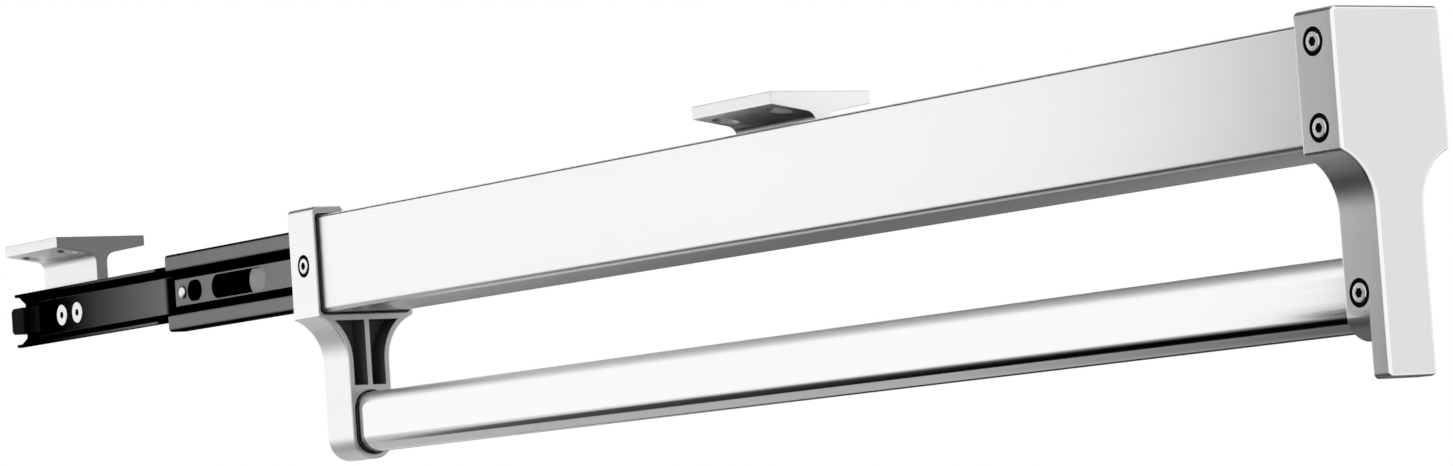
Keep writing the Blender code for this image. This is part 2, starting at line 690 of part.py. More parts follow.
def intermediate_slide_rail():
    """Hat rail with an access hole and slot through its strip near each end."""
    section = intermediate_section()
    solid = along_x("intermediate_slide_rail", [section], INTERMEDIATE_REAR, INTERMEDIATE_FRONT)
    rail = place(solid, BLACK_STEEL)
    near = SLIDE_FRONT + STRIP_FRONT - OVERCUT
    far = SLIDE_FRONT + STRIP_BACK + OVERCUT
    openings = (
        (ACCESS_HOLE_OFFSET, ACCESS_HOLE_LENGTH, ACCESS_HOLE_HEIGHT),
        (ACCESS_SLOT_OFFSET, ACCESS_SLOT_LENGTH, ACCESS_SLOT_HEIGHT),
    )
    for offset, length, height in openings:
        for start in (INTERMEDIATE_REAR + offset, INTERMEDIATE_FRONT - offset - length):
            loop = lying_slot(start, length, height, SLIDE_LEVEL)
            cut(rail, along_y("strip_opening", [loop], near, far))
    front = (STOP_RIVET_X, near, SLIDE_LEVEL)
    back = (STOP_RIVET_X, far, SLIDE_LEVEL)
    cut_hole(rail, "rivet_hole", STOP_RIVET_SHANK_DIAMETER + 2 * CLEARANCE, front, back)
    return rail


def intermediate_stop_rivet():
    """Low rivet in the strip's rear end, its tail flush with the strip's back."""
    head = STOP_RIVET_HEAD_DIAMETER / 2
    shank = STOP_RIVET_SHANK_DIAMETER / 2
    tail = -CLEARANCE - SLIDE_SHEET
    dome = [(head * u, STOP_RIVET_HEAD_HEIGHT * v) for u, v in arc(0, 0, 1, math.pi / 2, 0)]
    profile = [(0, STOP_RIVET_HEAD_HEIGHT)] + dome[1:] + [(shank, 0), (shank, tail), (0, tail)]
    seat = (STOP_RIVET_X, SLIDE_FRONT + STRIP_FRONT - CLEARANCE, SLIDE_LEVEL)
    return place(turned("intermediate_stop_rivet", profile, seat, (0, -1, 0)), BARE_STEEL)


# Ball cages
def ball_places(start, length):
    pitch = length / BALLS_PER_ROW
    return [start + pitch * (index + 0.5) for index in range(BALLS_PER_ROW)]


def ball_rows(prefix, radius, depth, level, start, length):
    """An upper and a lower row of loose balls."""
    bpy.ops.mesh.primitive_ico_sphere_add(subdivisions=2, radius=radius)
    first = bpy.context.object
    shape = first.data
    shape.shade_smooth()
    bpy.data.objects.remove(first, do_unlink=True)
    balls = []
    for side, row in ((1, "upper"), (-1, "lower")):
        for number, x in enumerate(ball_places(start, length), 1):
            ball = bpy.data.objects.new(f"{prefix}_ball_{row}_{number}", shape)
            ball.location = (x, SLIDE_FRONT + depth, SLIDE_LEVEL + side * level)
            balls.append(place(ball, BARE_STEEL))
    return balls


def inner_ball_cage():
    """Cage between the fixed and the intermediate rail: ball pockets, web windows and a rounded nose."""
    start = INNER_CAGE_START
    end = start + INNER_CAGE_LENGTH
    cage = place(along_x("inner_ball_cage", [inner_cage_section()], start, end), BARE_STEEL)
    near = SLIDE_FRONT + CAGE_FRONT - OVERCUT
    far = SLIDE_FRONT + CAGE_TAIL + OVERCUT
    nose_end = start + CAGE_NOSE_RADIUS
    reach = CAGE_OUTER + OVERCUT
    loop = [(start - OVERCUT, SLIDE_LEVEL - reach), (nose_end, SLIDE_LEVEL - reach)]
    loop += arc(nose_end, SLIDE_LEVEL, CAGE_NOSE_RADIUS, 1.5 * math.pi, 0.5 * math.pi)
    loop += [(nose_end, SLIDE_LEVEL + reach), (start - OVERCUT, SLIDE_LEVEL + reach)]
    cut(cage, along_y("cage_nose", [loop], near, far))
    pitch = INNER_CAGE_LENGTH / CAGE_WINDOWS
    for index in range(CAGE_WINDOWS):
        window = start + pitch * (index + 0.5) - CAGE_WINDOW_LENGTH / 2
        loop = lying_slot(window, CAGE_WINDOW_LENGTH, CAGE_WINDOW_HEIGHT, SLIDE_LEVEL)
        cut(cage, along_y("cage_window", [loop], near, far))
    ball_y = SLIDE_FRONT + BALL_DEPTH
    for x in ball_places(start, INNER_CAGE_LENGTH):
        for side in (-1, 1):
            foot = (x, ball_y, SLIDE_LEVEL + side * (CAGE_INNER - OVERCUT))
            head = (x, ball_y, SLIDE_LEVEL + side * (CAGE_OUTER + OVERCUT))
            cut_hole(cage, "cage_pocket", 2 * POCKET_RADIUS, foot, head)
    return cage


def outer_cage_strip(name, side):
    """Flat ball strip between the intermediate rail and the housing's top or bottom wall."""
    end = OUTER_CAGE_START + OUTER_CAGE_LENGTH
    half = OUTER_CAGE_WIDTH / 2
    middle = SLIDE_FRONT + OUTER_BALL_DEPTH
    outline = rounded([
        (OUTER_CAGE_START, middle - half, half / 2),
        (end, middle - half, half / 2),
        (end, middle + half, half / 2),
        (OUTER_CAGE_START, middle + half, half / 2),
    ])
    pocket = OUTER_BALL_RADIUS + BALL_CLEARANCE
    pockets = [circle(x, middle, pocket) for x in ball_places(OUTER_CAGE_START, OUTER_CAGE_LENGTH)]
    level = SLIDE_LEVEL + side * OUTER_BALL_LEVEL
    low = level - OUTER_CAGE_SHEET / 2
    high = level + OUTER_CAGE_SHEET / 2
    return place(along_z(name, [outline] + pockets, low, high), BARE_STEEL)


# Housing
def housing_profile():
    """Extruded aluminium channel, slotted above for the bracket stems, with two ball grooves inside."""
    ball_y = SLIDE_FRONT + OUTER_BALL_DEPTH
    level = SLIDE_LEVEL + OUTER_BALL_LEVEL
    top_groove = groove_above(ball_y, level, OUTER_GROOVE_RADIUS, OUTER_GROOVE_DEPTH)
    bottom_groove = [(y, 2 * SLIDE_LEVEL - z) for y, z in top_groove]
    outside = rounded([
        (-SLOT_HALF_WIDTH, PROFILE_TOP, 0),
        (-PROFILE_HALF_WIDTH, PROFILE_TOP, PROFILE_TOP_RADIUS),
        (-PROFILE_HALF_WIDTH, PROFILE_BOTTOM, PROFILE_BOTTOM_RADIUS),
        (PROFILE_HALF_WIDTH, PROFILE_BOTTOM, PROFILE_BOTTOM_RADIUS),
        (PROFILE_HALF_WIDTH, PROFILE_TOP, PROFILE_TOP_RADIUS),
        (SLOT_HALF_WIDTH, PROFILE_TOP, 0),
    ])
    inside = [
        (SLOT_HALF_WIDTH, CAVITY_TOP),
        (CAVITY_HALF_WIDTH, CAVITY_TOP),
        (CAVITY_HALF_WIDTH, CAVITY_BOTTOM),
    ]
    inside += bottom_groove
    inside += [(-CAVITY_HALF_WIDTH, CAVITY_BOTTOM), (-CAVITY_HALF_WIDTH, CAVITY_TOP)]
    inside += list(reversed(top_groove))
    inside += [(-SLOT_HALF_WIDTH, CAVITY_TOP)]
    solid = along_x("housing_profile", [outside + inside], PROFILE_REAR, PROFILE_FRONT)
    profile = place(solid, SATIN_ALUMINIUM)
    for x, height in wall_screw_places():
        front = (x, -PROFILE_HALF_WIDTH - OVERCUT, height)
        back = (x, -CAVITY_HALF_WIDTH + OVERCUT, height)
        cut_hole(profile, "profile_hole", CAP_SHANK_DIAMETER + 2 * CLEARANCE, front, back)
    return profile


def wall_screw_places():
    """Places (x, z) of the screws through the brackets' side walls: two in front, one behind."""
    half_spread = FRONT_SCREW_SPREAD / 2
    return [
        (FRONT_SCREW_X, SLIDE_LEVEL + half_spread),
        (FRONT_SCREW_X, SLIDE_LEVEL - half_spread),
        (REAR_SCREW_X, SLIDE_LEVEL),
    ]


# Cast end brackets
def bracket_side(bottom):
    """Left side of a bracket's outline: ring corner, ring side, neck arc, then the given leg bottom."""
    ring = rounded([
        (0, RING_TOP, 0),
        (-RING_HALF_WIDTH, RING_TOP, RING_CORNER_RADIUS),
        (-RING_HALF_WIDTH, RING_BOTTOM, 0),
    ])[1:]
    neck = arc(-NECK_CENTRE, NECK_BOTTOM, NECK_RADIUS, NECK_SWEEP, 0)[1:]
    return ring + neck + bottom


def leg_round():
    """Left half of the leg's round bottom."""
    return arc(0, LEG_ROUND_LEVEL, LEG_HALF_WIDTH, math.pi, 1.5 * math.pi)


def bore_outline():
    """Seat for the housing profile, its outline with a clearance all round."""
    top = PROFILE_TOP + CLEARANCE
    bottom = PROFILE_BOTTOM - CLEARANCE
    return rounded([
        (-BORE_HALF_WIDTH, top, PROFILE_TOP_RADIUS),
        (-BORE_HALF_WIDTH, bottom, PROFILE_BOTTOM_RADIUS),
        (BORE_HALF_WIDTH, bottom, PROFILE_BOTTOM_RADIUS),
        (BORE_HALF_WIDTH, top, PROFILE_TOP_RADIUS),
    ])


def socket_outline():
    """Seat for the hanging rail."""
    return upright_oval(2 * SOCKET_RADIUS, TUBE_HEIGHT + 2 * CLEARANCE, TUBE_LEVEL)


def cut_pockets(bracket, start, end):
    """Two cored pockets in a bracket's neck, with a rib between them."""
    wall_radius = NECK_RADIUS + POCKET_WALL
    top_angle = math.asin((POCKET_TOP - NECK_BOTTOM) / wall_radius)
    half_rib = POCKET_RIB / 2
    wall = arc(-NECK_CENTRE, NECK_BOTTOM, wall_radius, top_angle, 0)
    left = wall + [(wall[-1][0], POCKET_BOTTOM), (-half_rib, POCKET_BOTTOM), (-half_rib, POCKET_TOP)]
    for loop in (left, mirrored(left)):
        cut(bracket, along_x("neck_pocket", [loop], start, end))


def cut_screw_seat(bracket, x, wall_y, level, through_y):
    """Screw seat in a bracket's -Y side: counterbore, then a clear hole through the wall."""
    outside = (x, wall_y - OVERCUT, level)
    floor = (x, wall_y + COUNTERBORE_DEPTH, level)
    cut_hole(bracket, "counterbore", COUNTERBORE_DIAMETER, outside, floor)
    cut_hole(bracket, "wall_hole", CAP_SHANK_DIAMETER + 2 * CLEARANCE, outside, (x, through_y, level))


def rear_end_bracket():
    """Cast ring, open above for the bracket stems, with a leg and a blind socket for the hanging rail."""
    left = bracket_side(leg_round())
    opening = rounded([
        (RING_HALF_WIDTH, RING_TOP, 0),
        (SLOT_HALF_WIDTH, RING_TOP, RING_SLOT_RADIUS),
        (SLOT_HALF_WIDTH, CAVITY_TOP, 0),
        (CAVITY_HALF_WIDTH, CAVITY_TOP, 0),
        (CAVITY_HALF_WIDTH, CAVITY_BOTTOM, 0),
        (0, CAVITY_BOTTOM, 0),
    ])[1:-1]
    outline = left + mirrored(left)[1:] + opening + mirrored(opening)
    bracket = place(along_x("rear_end_bracket", [outline], CARRIAGE_REAR, REAR_RIM), CAST_METAL)
    soften(bracket, CAST_EDGE)
    beyond = REAR_RIM + OVERCUT
    cut(bracket, along_x("rear_bore", [bore_outline()], CARRIAGE_REAR + REAR_LIP, beyond))
    cut(bracket, along_x("rear_socket", [socket_outline()], CARRIAGE_REAR + REAR_SOCKET_FLOOR, beyond))
    cut_pockets(bracket, REAR_RIM - POCKET_DEPTH, beyond)
    cut_screw_seat(bracket, REAR_SCREW_X, -RING_HALF_WIDTH, SLIDE_LEVEL, -PROFILE_HALF_WIDTH)
    return bracket


def front_end_bracket():
    """Cast front cap: closed ring, leg with the rail's socket, and a handle plate that hangs below it."""
    handle = rounded([
        (-LEG_HALF_WIDTH, TUBE_LEVEL, 0),
        (-LEG_HALF_WIDTH, HANDLE_BOTTOM, HANDLE_CORNER_RADIUS),
        (0, HANDLE_BOTTOM, 0),
    ])[1:-1]
    left = bracket_side(handle)
    outline = left + mirrored(left)
    bracket = place(along_x("front_end_bracket", [outline], FRONT_RIM, CARRIAGE_FRONT), CAST_METAL)
    soften(bracket, CAST_EDGE)
    behind = FRONT_RIM - OVERCUT
    aside = LEG_HALF_WIDTH + OVERCUT
    below = HANDLE_BOTTOM - OVERCUT
    relief = [(-aside, LEG_ROUND_LEVEL)] + leg_round() + mirrored(leg_round())[1:]
    relief += [(aside, LEG_ROUND_LEVEL), (aside, below), (-aside, below)]
    cut(bracket, along_x("handle_relief", [relief], behind, CARRIAGE_FRONT - HANDLE_THICKNESS))
    cut(bracket, along_x("front_bore", [bore_outline()], behind, CARRIAGE_FRONT - FRONT_WALL))
    cut(bracket, along_x("front_socket", [socket_outline()], behind, CARRIAGE_FRONT - FRONT_SOCKET_FLOOR))
    cut_pockets(bracket, behind, FRONT_RIM + POCKET_DEPTH)
    for x, level in wall_screw_places()[:2]:
        cut_screw_seat(bracket, x, -RING_HALF_WIDTH, level, -PROFILE_HALF_WIDTH)
    cut_screw_seat(bracket, LEG_SCREW_X, -LEG_HALF_WIDTH, TUBE_LEVEL, -TUBE_RADIUS)
    wall = CARRIAGE_FRONT - FRONT_WALL
    peg_start = (wall - OVERCUT, CLOSING_BUFFER_Y, SLIDE_LEVEL)
    peg_end = (wall + CLOSING_PEG_LENGTH + CLEARANCE, CLOSING_BUFFER_Y, SLIDE_LEVEL)
    cut_hole(bracket, "closing_peg_hole", CLOSING_PEG_DIAMETER + 2 * CLEARANCE, peg_start, peg_end)
    return bracket


def closing_buffer():
    """Soft button inside the front wall, met by the intermediate rail's front end when the rack is shut."""
    radius = CLOSING_BUFFER_DIAMETER / 2
    peg = CLOSING_PEG_DIAMETER / 2
    edge = radius / 4
    wall = CARRIAGE_FRONT - FRONT_WALL
    top = CLOSING_BUFFER_LENGTH
    profile = [
        (0, top),
        (radius - edge, top),
        (radius, top - edge),
        (radius, 0),
        (peg, 0),
        (peg, -CLEARANCE - CLOSING_PEG_LENGTH),
        (0, -CLEARANCE - CLOSING_PEG_LENGTH),
    ]
    seat = (wall - CLEARANCE, CLOSING_BUFFER_Y, SLIDE_LEVEL)
    return place(turned("closing_buffer", profile, seat, (-1, 0, 0)), BLACK_PLASTIC)


# Hanging rail
def hanging_rail():
    """Oval aluminium tube between the two leg sockets."""
    start = CARRIAGE_REAR + REAR_SOCKET_FLOOR + CLEARANCE
    end = CARRIAGE_FRONT - FRONT_SOCKET_FLOOR - CLEARANCE
    outside = upright_oval(TUBE_WIDTH, TUBE_HEIGHT, TUBE_LEVEL)
    inside = upright_oval(TUBE_WIDTH - 2 * TUBE_WALL, TUBE_HEIGHT - 2 * TUBE_WALL, TUBE_LEVEL)
    tube = place(along_x("hanging_rail", [outside, inside], start, end), BRIGHT_ALUMINIUM)
    near = (LEG_SCREW_X, -TUBE_RADIUS - OVERCUT, TUBE_LEVEL)
    inner = (LEG_SCREW_X, -TUBE_RADIUS + TUBE_WALL + OVERCUT, TUBE_LEVEL)
    cut_hole(tube, "tube_hole", CAP_SHANK_DIAMETER + 2 * CLEARANCE, near, inner)
    return tube


def cap_screw(name, x, wall_y, level, tip_y):
    """Hexagon-socket screw whose head sits in a counterbore of the -Y side."""
    head = CAP_HEAD_DIAMETER / 2
    shank = CAP_SHANK_DIAMETER / 2
    edge = CAP_HEAD_HEIGHT / 4
    seat_y = wall_y + COUNTERBORE_DEPTH - CLEARANCE
    length = tip_y - seat_y
    profile = [
        (0, CAP_HEAD_HEIGHT),
        (head - edge, CAP_HEAD_HEIGHT),
        (head, CAP_HEAD_HEIGHT - edge),
        (head, 0),
        (shank, 0),
        (shank, -length),
        (0, -length),
    ]
    screw = place(turned(name, profile, (x, seat_y, level), (0, -1, 0)), BARE_STEEL)
    cut_hex(screw, x, seat_y - CAP_HEAD_HEIGHT, level, CAP_HEX, CAP_HEX_DEPTH)
    return screw


def carriage_screws():
    """Screws through the ring walls into the housing, and through the front leg into the hanging rail."""
    names = ("front_ring_screw_upper", "front_ring_screw_lower", "rear_ring_screw")
    ring_tip = -CAVITY_HALF_WIDTH + SCREW_TIP
    screws = []
    for name, (x, level) in zip(names, wall_screw_places()):
        screws.append(cap_screw(name, x, -RING_HALF_WIDTH, level, ring_tip))
    tube_tip = -TUBE_RADIUS + TUBE_WALL + SCREW_TIP
    screws.append(cap_screw("rail_clamp_screw", LEG_SCREW_X, -LEG_HALF_WIDTH, TUBE_LEVEL, tube_tip))
    return screws


def build():
    for label, bracket_x in (("rear", 0), ("front", BRACKET_SPACING)):
        ceiling_bracket(f"{label}_ceiling_bracket", bracket_x)
        for number, x in enumerate(sunk_screw_places(bracket_x), 1):
            rail_screw(f"{label}_rail_screw_{number}", x)
    fixed_slide_rail()
    rear_stop_buffer()

    inner = ball_rows("inner", BALL_RADIUS, BALL_DEPTH, BALL_LEVEL, INNER_CAGE_START, INNER_CAGE_LENGTH)
    carry("inner_cage_slide", INNER_CAGE_START, [inner_ball_cage()] + inner)

    carry("intermediate_slide", INTERMEDIATE_REAR, [intermediate_slide_rail(), intermediate_stop_rivet()])

    outer = ball_rows(
        "outer", OUTER_BALL_RADIUS, OUTER_BALL_DEPTH, OUTER_BALL_LEVEL, OUTER_CAGE_START, OUTER_CAGE_LENGTH
    )
    strips = [outer_cage_strip("outer_cage_upper", 1), outer_cage_strip("outer_cage_lower", -1)]
    carry("outer_cage_slide", OUTER_CAGE_START, strips + outer)

    carriage = [housing_profile(), rear_end_bracket(), front_end_bracket(), closing_buffer(), hanging_rail()]
    carry("carriage_slide", CARRIAGE_REAR, carriage + carriage_screws())


build()
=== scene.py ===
"""Looks of a pull-out hanging rail, laid out as a Blender add-on and run as a script.

Each operator makes one piece, or one group of like pieces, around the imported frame: smooth castings,
rolled slide rails, an extruded housing, screws and balls. +X is the pull-out direction and -Y the long
side with the screw heads. Sizes are metres.
"""
import math

import bmesh
import bpy
from bpy.props import FloatProperty, FloatVectorProperty, IntProperty, PointerProperty
from bpy.types import Operator, Panel, PropertyGroup
from mathutils import Matrix, Vector


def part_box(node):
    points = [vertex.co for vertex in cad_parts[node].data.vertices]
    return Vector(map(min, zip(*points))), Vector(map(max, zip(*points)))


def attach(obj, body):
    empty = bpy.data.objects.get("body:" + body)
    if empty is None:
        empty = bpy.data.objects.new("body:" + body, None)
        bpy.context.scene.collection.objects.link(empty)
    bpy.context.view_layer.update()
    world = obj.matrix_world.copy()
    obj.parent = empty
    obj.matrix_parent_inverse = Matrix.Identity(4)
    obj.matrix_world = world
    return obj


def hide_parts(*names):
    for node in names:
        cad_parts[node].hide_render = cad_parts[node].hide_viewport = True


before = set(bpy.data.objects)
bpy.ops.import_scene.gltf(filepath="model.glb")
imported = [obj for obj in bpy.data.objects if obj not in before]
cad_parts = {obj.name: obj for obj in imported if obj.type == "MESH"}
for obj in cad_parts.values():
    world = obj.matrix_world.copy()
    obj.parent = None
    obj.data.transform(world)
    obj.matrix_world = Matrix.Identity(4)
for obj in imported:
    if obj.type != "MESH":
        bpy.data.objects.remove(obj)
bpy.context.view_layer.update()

bl_info = {
    "name": "Pull-out hanging rail looks",
    "version": (1, 0, 0),
    "blender": (4, 5, 0),
    "location": "View3D > Sidebar > Rack",
    "description": "Builds the visible pieces of a pull-out hanging rail around its packed frame",
    "category": "Object",
}

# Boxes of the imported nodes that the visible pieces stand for
HOUSING_LOW, HOUSING_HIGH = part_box("housing_profile")
FRONT_LOW, FRONT_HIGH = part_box("front_end_bracket")
REAR_LOW, REAR_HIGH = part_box("rear_end_bracket")
TUBE_LOW, TUBE_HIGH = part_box("hanging_rail")
REAR_TEE_LOW, REAR_TEE_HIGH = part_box("rear_ceiling_bracket")
FRONT_TEE_LOW, FRONT_TEE_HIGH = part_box("front_ceiling_bracket")
FIXED_LOW, FIXED_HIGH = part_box("fixed_slide_rail")
HAT_LOW, HAT_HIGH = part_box("intermediate_slide_rail")
BUFFER_LOW, BUFFER_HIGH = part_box("rear_stop_buffer")
BUTTON_LOW, BUTTON_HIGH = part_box("closing_buffer")
RIVET_LOW, RIVET_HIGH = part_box("intermediate_stop_rivet")

# Heights and depths shared by several pieces
SLIDE_LEVEL = (HAT_LOW.z + HAT_HIGH.z) / 2
SLIDE_FRONT = HAT_LOW.y
TUBE_LEVEL = (TUBE_LOW.z + TUBE_HIGH.z) / 2
TUBE_RADIUS = TUBE_HIGH.y

# Clearance between fitted pieces, and how far a cutter reaches past a face
FIT = 0.0003
OVERCUT = 0.001

# Small edges and fillets
BRACKET_EDGE = 0.00025
FLANGE_EDGE = 0.0003
CURL_EDGE = 0.0002
CHANNEL_EDGE = 0.0003
CHANNEL_TOP_FILLET = 0.0005
CHANNEL_BOTTOM_FILLET = 0.0008
OPENING_TOP_FILLET = 0.0004
BORE_LIP = 0.0002
NOSE_EDGE = 0.0012
NOSE_SHOULDER = 0.0008
TONGUE_ROOT = 0.0006
TONGUE_EDGE = 0.0003
BUMPER_EDGE = 0.0003

# Screws, rivet and button; shanks and pegs are radii
HEX_WIDTH = 0.0025
CAP_HEX_DEPTH = 0.0008
CAP_HEAD = 0.0009
CAP_EDGE = 0.0003
CAP_SHANK = 0.0015
SUNK_HEX_DEPTH = 0.0012
SUNK_EDGE = 0.0001
SUNK_RIM = 0.0002
SUNK_SEAT = 0.002
SUNK_SHANK = 0.002
RIVET_DOME = 0.0009
RIVET_SHANK = 0.0015
BUTTON_CROWN = 0.0015
BUTTON_PEG = 0.0015
BUTTON_PEG_LENGTH = 0.0018

# Slide's coat: x places along the fixed rail for its painted sheen and painted shade, and rubbed lines at a
# height from the slide's middle
SHEEN_AND_SHADOW_RUN = (-0.012, 0.0755, 0.0785)
FLANGE_RUB = 0.0066
RUB_WIDTH = 0.00022
RUBBED_STEEL = (0.34, 0.34, 0.35)
BLACK = (0.0, 0.0, 0.0)

# Studio: what the lamps look at, and edges that several cards share
RACK_MIDDLE = (0.35, 0.0, -0.05)
CARDS_BELOW = -0.30
CARD_SEAM = -0.11
CARD_BACK = 0.20

# Directions
X_AXIS = (1.0, 0.0, 0.0)
Y_AXIS = (0.0, 1.0, 0.0)
Z_AXIS = (0.0, 0.0, 1.0)
SCREW_SIDE = (0.0, -1.0, 0.0)

# Facets of the visible shapes; outlines are drawn in millimetres, because curve filling is coarse
ARC_STEP = math.radians(7.5)
SHARP_ANGLE = math.radians(32)
BEVEL_ANGLE = math.radians(50)
FLAT_ANGLE = math.radians(0.05)
MERGE_DISTANCE = 1e-6
TURN_STEPS = 48
DRAW_SCALE = 1000

# Shift of a sheet's corner from one side to the other at a 45 degree bend, per unit of thickness
SHOULDER_SHIFT = math.tan(math.radians(22.5))

# Outline planes: an outline drawn along X lies in (Y, Z), along Y in (X, Z) and along Z in (X, Y)
ALONG_X = Matrix(((0, 0, 1, 0), (1, 0, 0, 0), (0, 1, 0, 0), (0, 0, 0, 1)))
ALONG_Y = Matrix(((1, 0, 0, 0), (0, 0, -1, 0), (0, 1, 0, 0), (0, 0, 0, 1)))
ALONG_Z = Matrix.Identity(4)


def length(name, description, default):
    """A size in metres that a user would change."""
    return FloatProperty(name=name, description=description, default=default, unit="LENGTH", precision=5)


def colour(name, description, default):
    """A finish colour that a user would change."""
    return FloatVectorProperty(
        name=name, description=description, default=default, subtype="COLOR", size=3, min=0.0, max=1.0
    )


class RackSlideSizes(PropertyGroup):
    sheet: length("Sheet", "Thickness of the slide's steel sheet", 0.0012)
    inner_bend: length("Inner bend", "Radius inside a bend of the slide's sheet", 0.0004)
    outer_bend: length("Outer bend", "Radius outside a bend of the slide's sheet", 0.0014)
    strip_height: length("Strip height", "Height of the intermediate rail's flat strip", 0.0095)
    lip_height: length("Lip height", "Height of each lip of the intermediate rail", 0.0056)
    curl_height: length("Curl height", "Height of the turned-in edge of each flange", 0.0024)
    flange_start: length("Flange start", "Depth at which the fixed rail's flanges start", 0.0025)
    flange_end: length("Flange end", "Depth at which the fixed rail's shoulders start", 0.0049)
    nose_radius: length("Nose radius", "Radius of the rear stop's nose corners", 0.0035)
    nose_end: length("Nose end", "Rear stop's shoulder from the fixed rail's rear end", 0.0059)
    tongue: length("Tongue", "Thickness of the rear stop's tongue", 0.00085)
    hole_offset: length("Hole offset", "Access hole from the intermediate rail's end", 0.009)
    hole_length: length("Hole length", "Length of the access hole", 0.0107)
    hole_height: length("Hole height", "Height of the access hole", 0.0076)
    slot_offset: length("Slot offset", "Access slot from the intermediate rail's end", 0.027)
    slot_length: length("Slot length", "Length of the access slot", 0.039)
    slot_height: length("Slot height", "Height of the access slot", 0.0086)
    balls_per_row: IntProperty(
        name="Balls per row", description="Balls in each row of a cage", default=6, min=2
    )


class RackCastingSizes(PropertyGroup):
    edge: length("Edge", "Rounding of the castings' edges", 0.0009)
    corner: length("Corner", "Radius of the ring's corners", 0.0018)
    bottom_wall: length("Bottom wall", "Wall of the ring under the housing", 0.0011)
    front_wall: length("Front wall", "Thickness of the front casting's face", 0.003)
    rear_lip: length("Rear lip", "Thickness of the rear casting's lip", 0.003)
    front_socket_floor: length("Front socket floor", "Metal in front of the rail's socket", 0.0045)
    rear_socket_floor: length("Rear socket floor", "Metal behind the rail's socket", 0.004)
    neck_drop: length("Neck drop", "Height of the curved neck", 0.0153)
    leg_wall: length("Leg wall", "Wall of the leg around the rail's socket", 0.002)
    handle: length("Handle", "Thickness of the handle plate", 0.0062)
    handle_corner: length("Handle corner", "Radius of the handle's lower corners", 0.0015)
    pocket_wall: length("Pocket wall", "Wall outside each cored pocket", 0.002)
    pocket_rib: length("Pocket rib", "Rib between the cored pockets", 0.0018)
    pocket_depth: length("Pocket depth", "Depth of the cored pockets", 0.0085)
    pocket_roof: length("Pocket roof", "Metal above the cored pockets", 0.0014)
    pocket_floor: length("Pocket floor", "Metal below the cored pockets", 0.0022)
    bore: length("Counterbore", "Diameter of a screw's counterbore", 0.0075)
    bore_depth: length("Counterbore depth", "Depth of a screw's counterbore", 0.001)
    slot_edge: length("Slot edge", "Rounding beside the rear casting's top slot", 0.002)
    # Painted shadow: the dark relief at the rear casting's mouth stands for the shade in the gap around the
    # housing and rail
    mouth: length("Mouth", "Relief around the housing and rail at the rear casting's mouth", 0.0009)
    mouth_depth: length("Mouth depth", "Depth of that relief", 0.0012)


class RackHousingSizes(PropertyGroup):
    wall: length("Wall", "Wall of the housing", 0.0013)
    slot: length("Slot", "Width of the slot along the housing's top", 0.013)
    top_corner: length("Top corner", "Radius of the housing's upper corners", 0.0012)
    bottom_corner: length("Bottom corner", "Radius of the housing's lower corners", 0.002)
    tube_wall: length("Tube wall", "Wall of the oval rail", 0.0012)


class RackBracketSizes(PropertyGroup):
    plate_edge: length("Plate edge", "Thickness of a ceiling plate at its edge", 0.0039)
    plate_root: length("Plate root", "Thickness of a ceiling plate beside its stem", 0.0066)
    stem: length("Stem", "Thickness of a ceiling bracket's stem", 0.0047)
    stem_fillet: length("Stem fillet", "Radius between plate and stem", 0.0035)
    hole: length("Hole", "Diameter of a shelf screw's hole", 0.0043)
    sink: length("Countersink", "Diameter of a hole's countersink", 0.0083)
    pitch_x: length("Pitch X", "Holes apart along the rack", 0.0286)
    pitch_y: length("Pitch Y", "Holes apart across the rack", 0.023)


class RackFinishes(PropertyGroup):
    housing: colour("Housing", "Satin anodised housing", (0.95, 0.95, 0.953))
    # Darker than the rear casting: partly its own finish, partly painted shade of light falling off towards
    # the front end
    front_casting: colour("Front casting", "Satin front casting", (0.765, 0.765, 0.768))
    rear_casting: colour("Rear casting", "Satin rear casting", (0.97, 0.97, 0.972))
    # Painted shade on the rear casting's faces across its length, the rim among them
    rim: colour("Rim", "As-cast rims of the rear casting", (0.42, 0.42, 0.425))
    # Painted highlight on the castings' rounded edges
    edge_highlight: colour("Bright edge", "Bright edges of the castings", (0.95, 0.95, 0.95))
    # Unfinished metal in the castings' pockets, sockets and seats, darkened as painted shade
    raw_cast_shade: colour("Raw casting", "Unfinished pockets and sockets of the castings", (0.09, 0.09, 0.091))
    # Painted shadow in the counterbores and hexagon sockets
    seat_shadow: colour("Screw seat", "Dark counterbores and hexagon sockets", (0.004, 0.004, 0.004))
    tee: colour("Ceiling bracket", "Extruded ceiling brackets", (0.92, 0.92, 0.923))
    # Painted shade on the rear ceiling bracket's end faces
    tee_end_shade: colour("Sawn end", "Sawn ends of the rear ceiling bracket", (0.2, 0.2, 0.205))
    tube: colour("Oval rail", "Bright anodised oval rail", (0.95, 0.95, 0.953))
    # Painted sheen: this grey goes on faces that look along Y, the black below it on bends and all other
    # faces
    coat: colour("Black coat", "Black zinc of the slide where it catches light", (0.265, 0.265, 0.267))
    unlit_coat: colour("Unworn coat", "Black zinc in bends and where nothing rubs", (0.006, 0.006, 0.006))
    cage: colour("Cage", "Dull ball cages", (0.30, 0.30, 0.305))
    zinc: colour("Zinc", "Plated screws", (0.86, 0.86, 0.87))
    plastic: colour("Plastic", "Moulded rear bumper", (0.0015, 0.0015, 0.0015))
    rubber: colour("Rubber", "Closing button", (0.02, 0.02, 0.02))


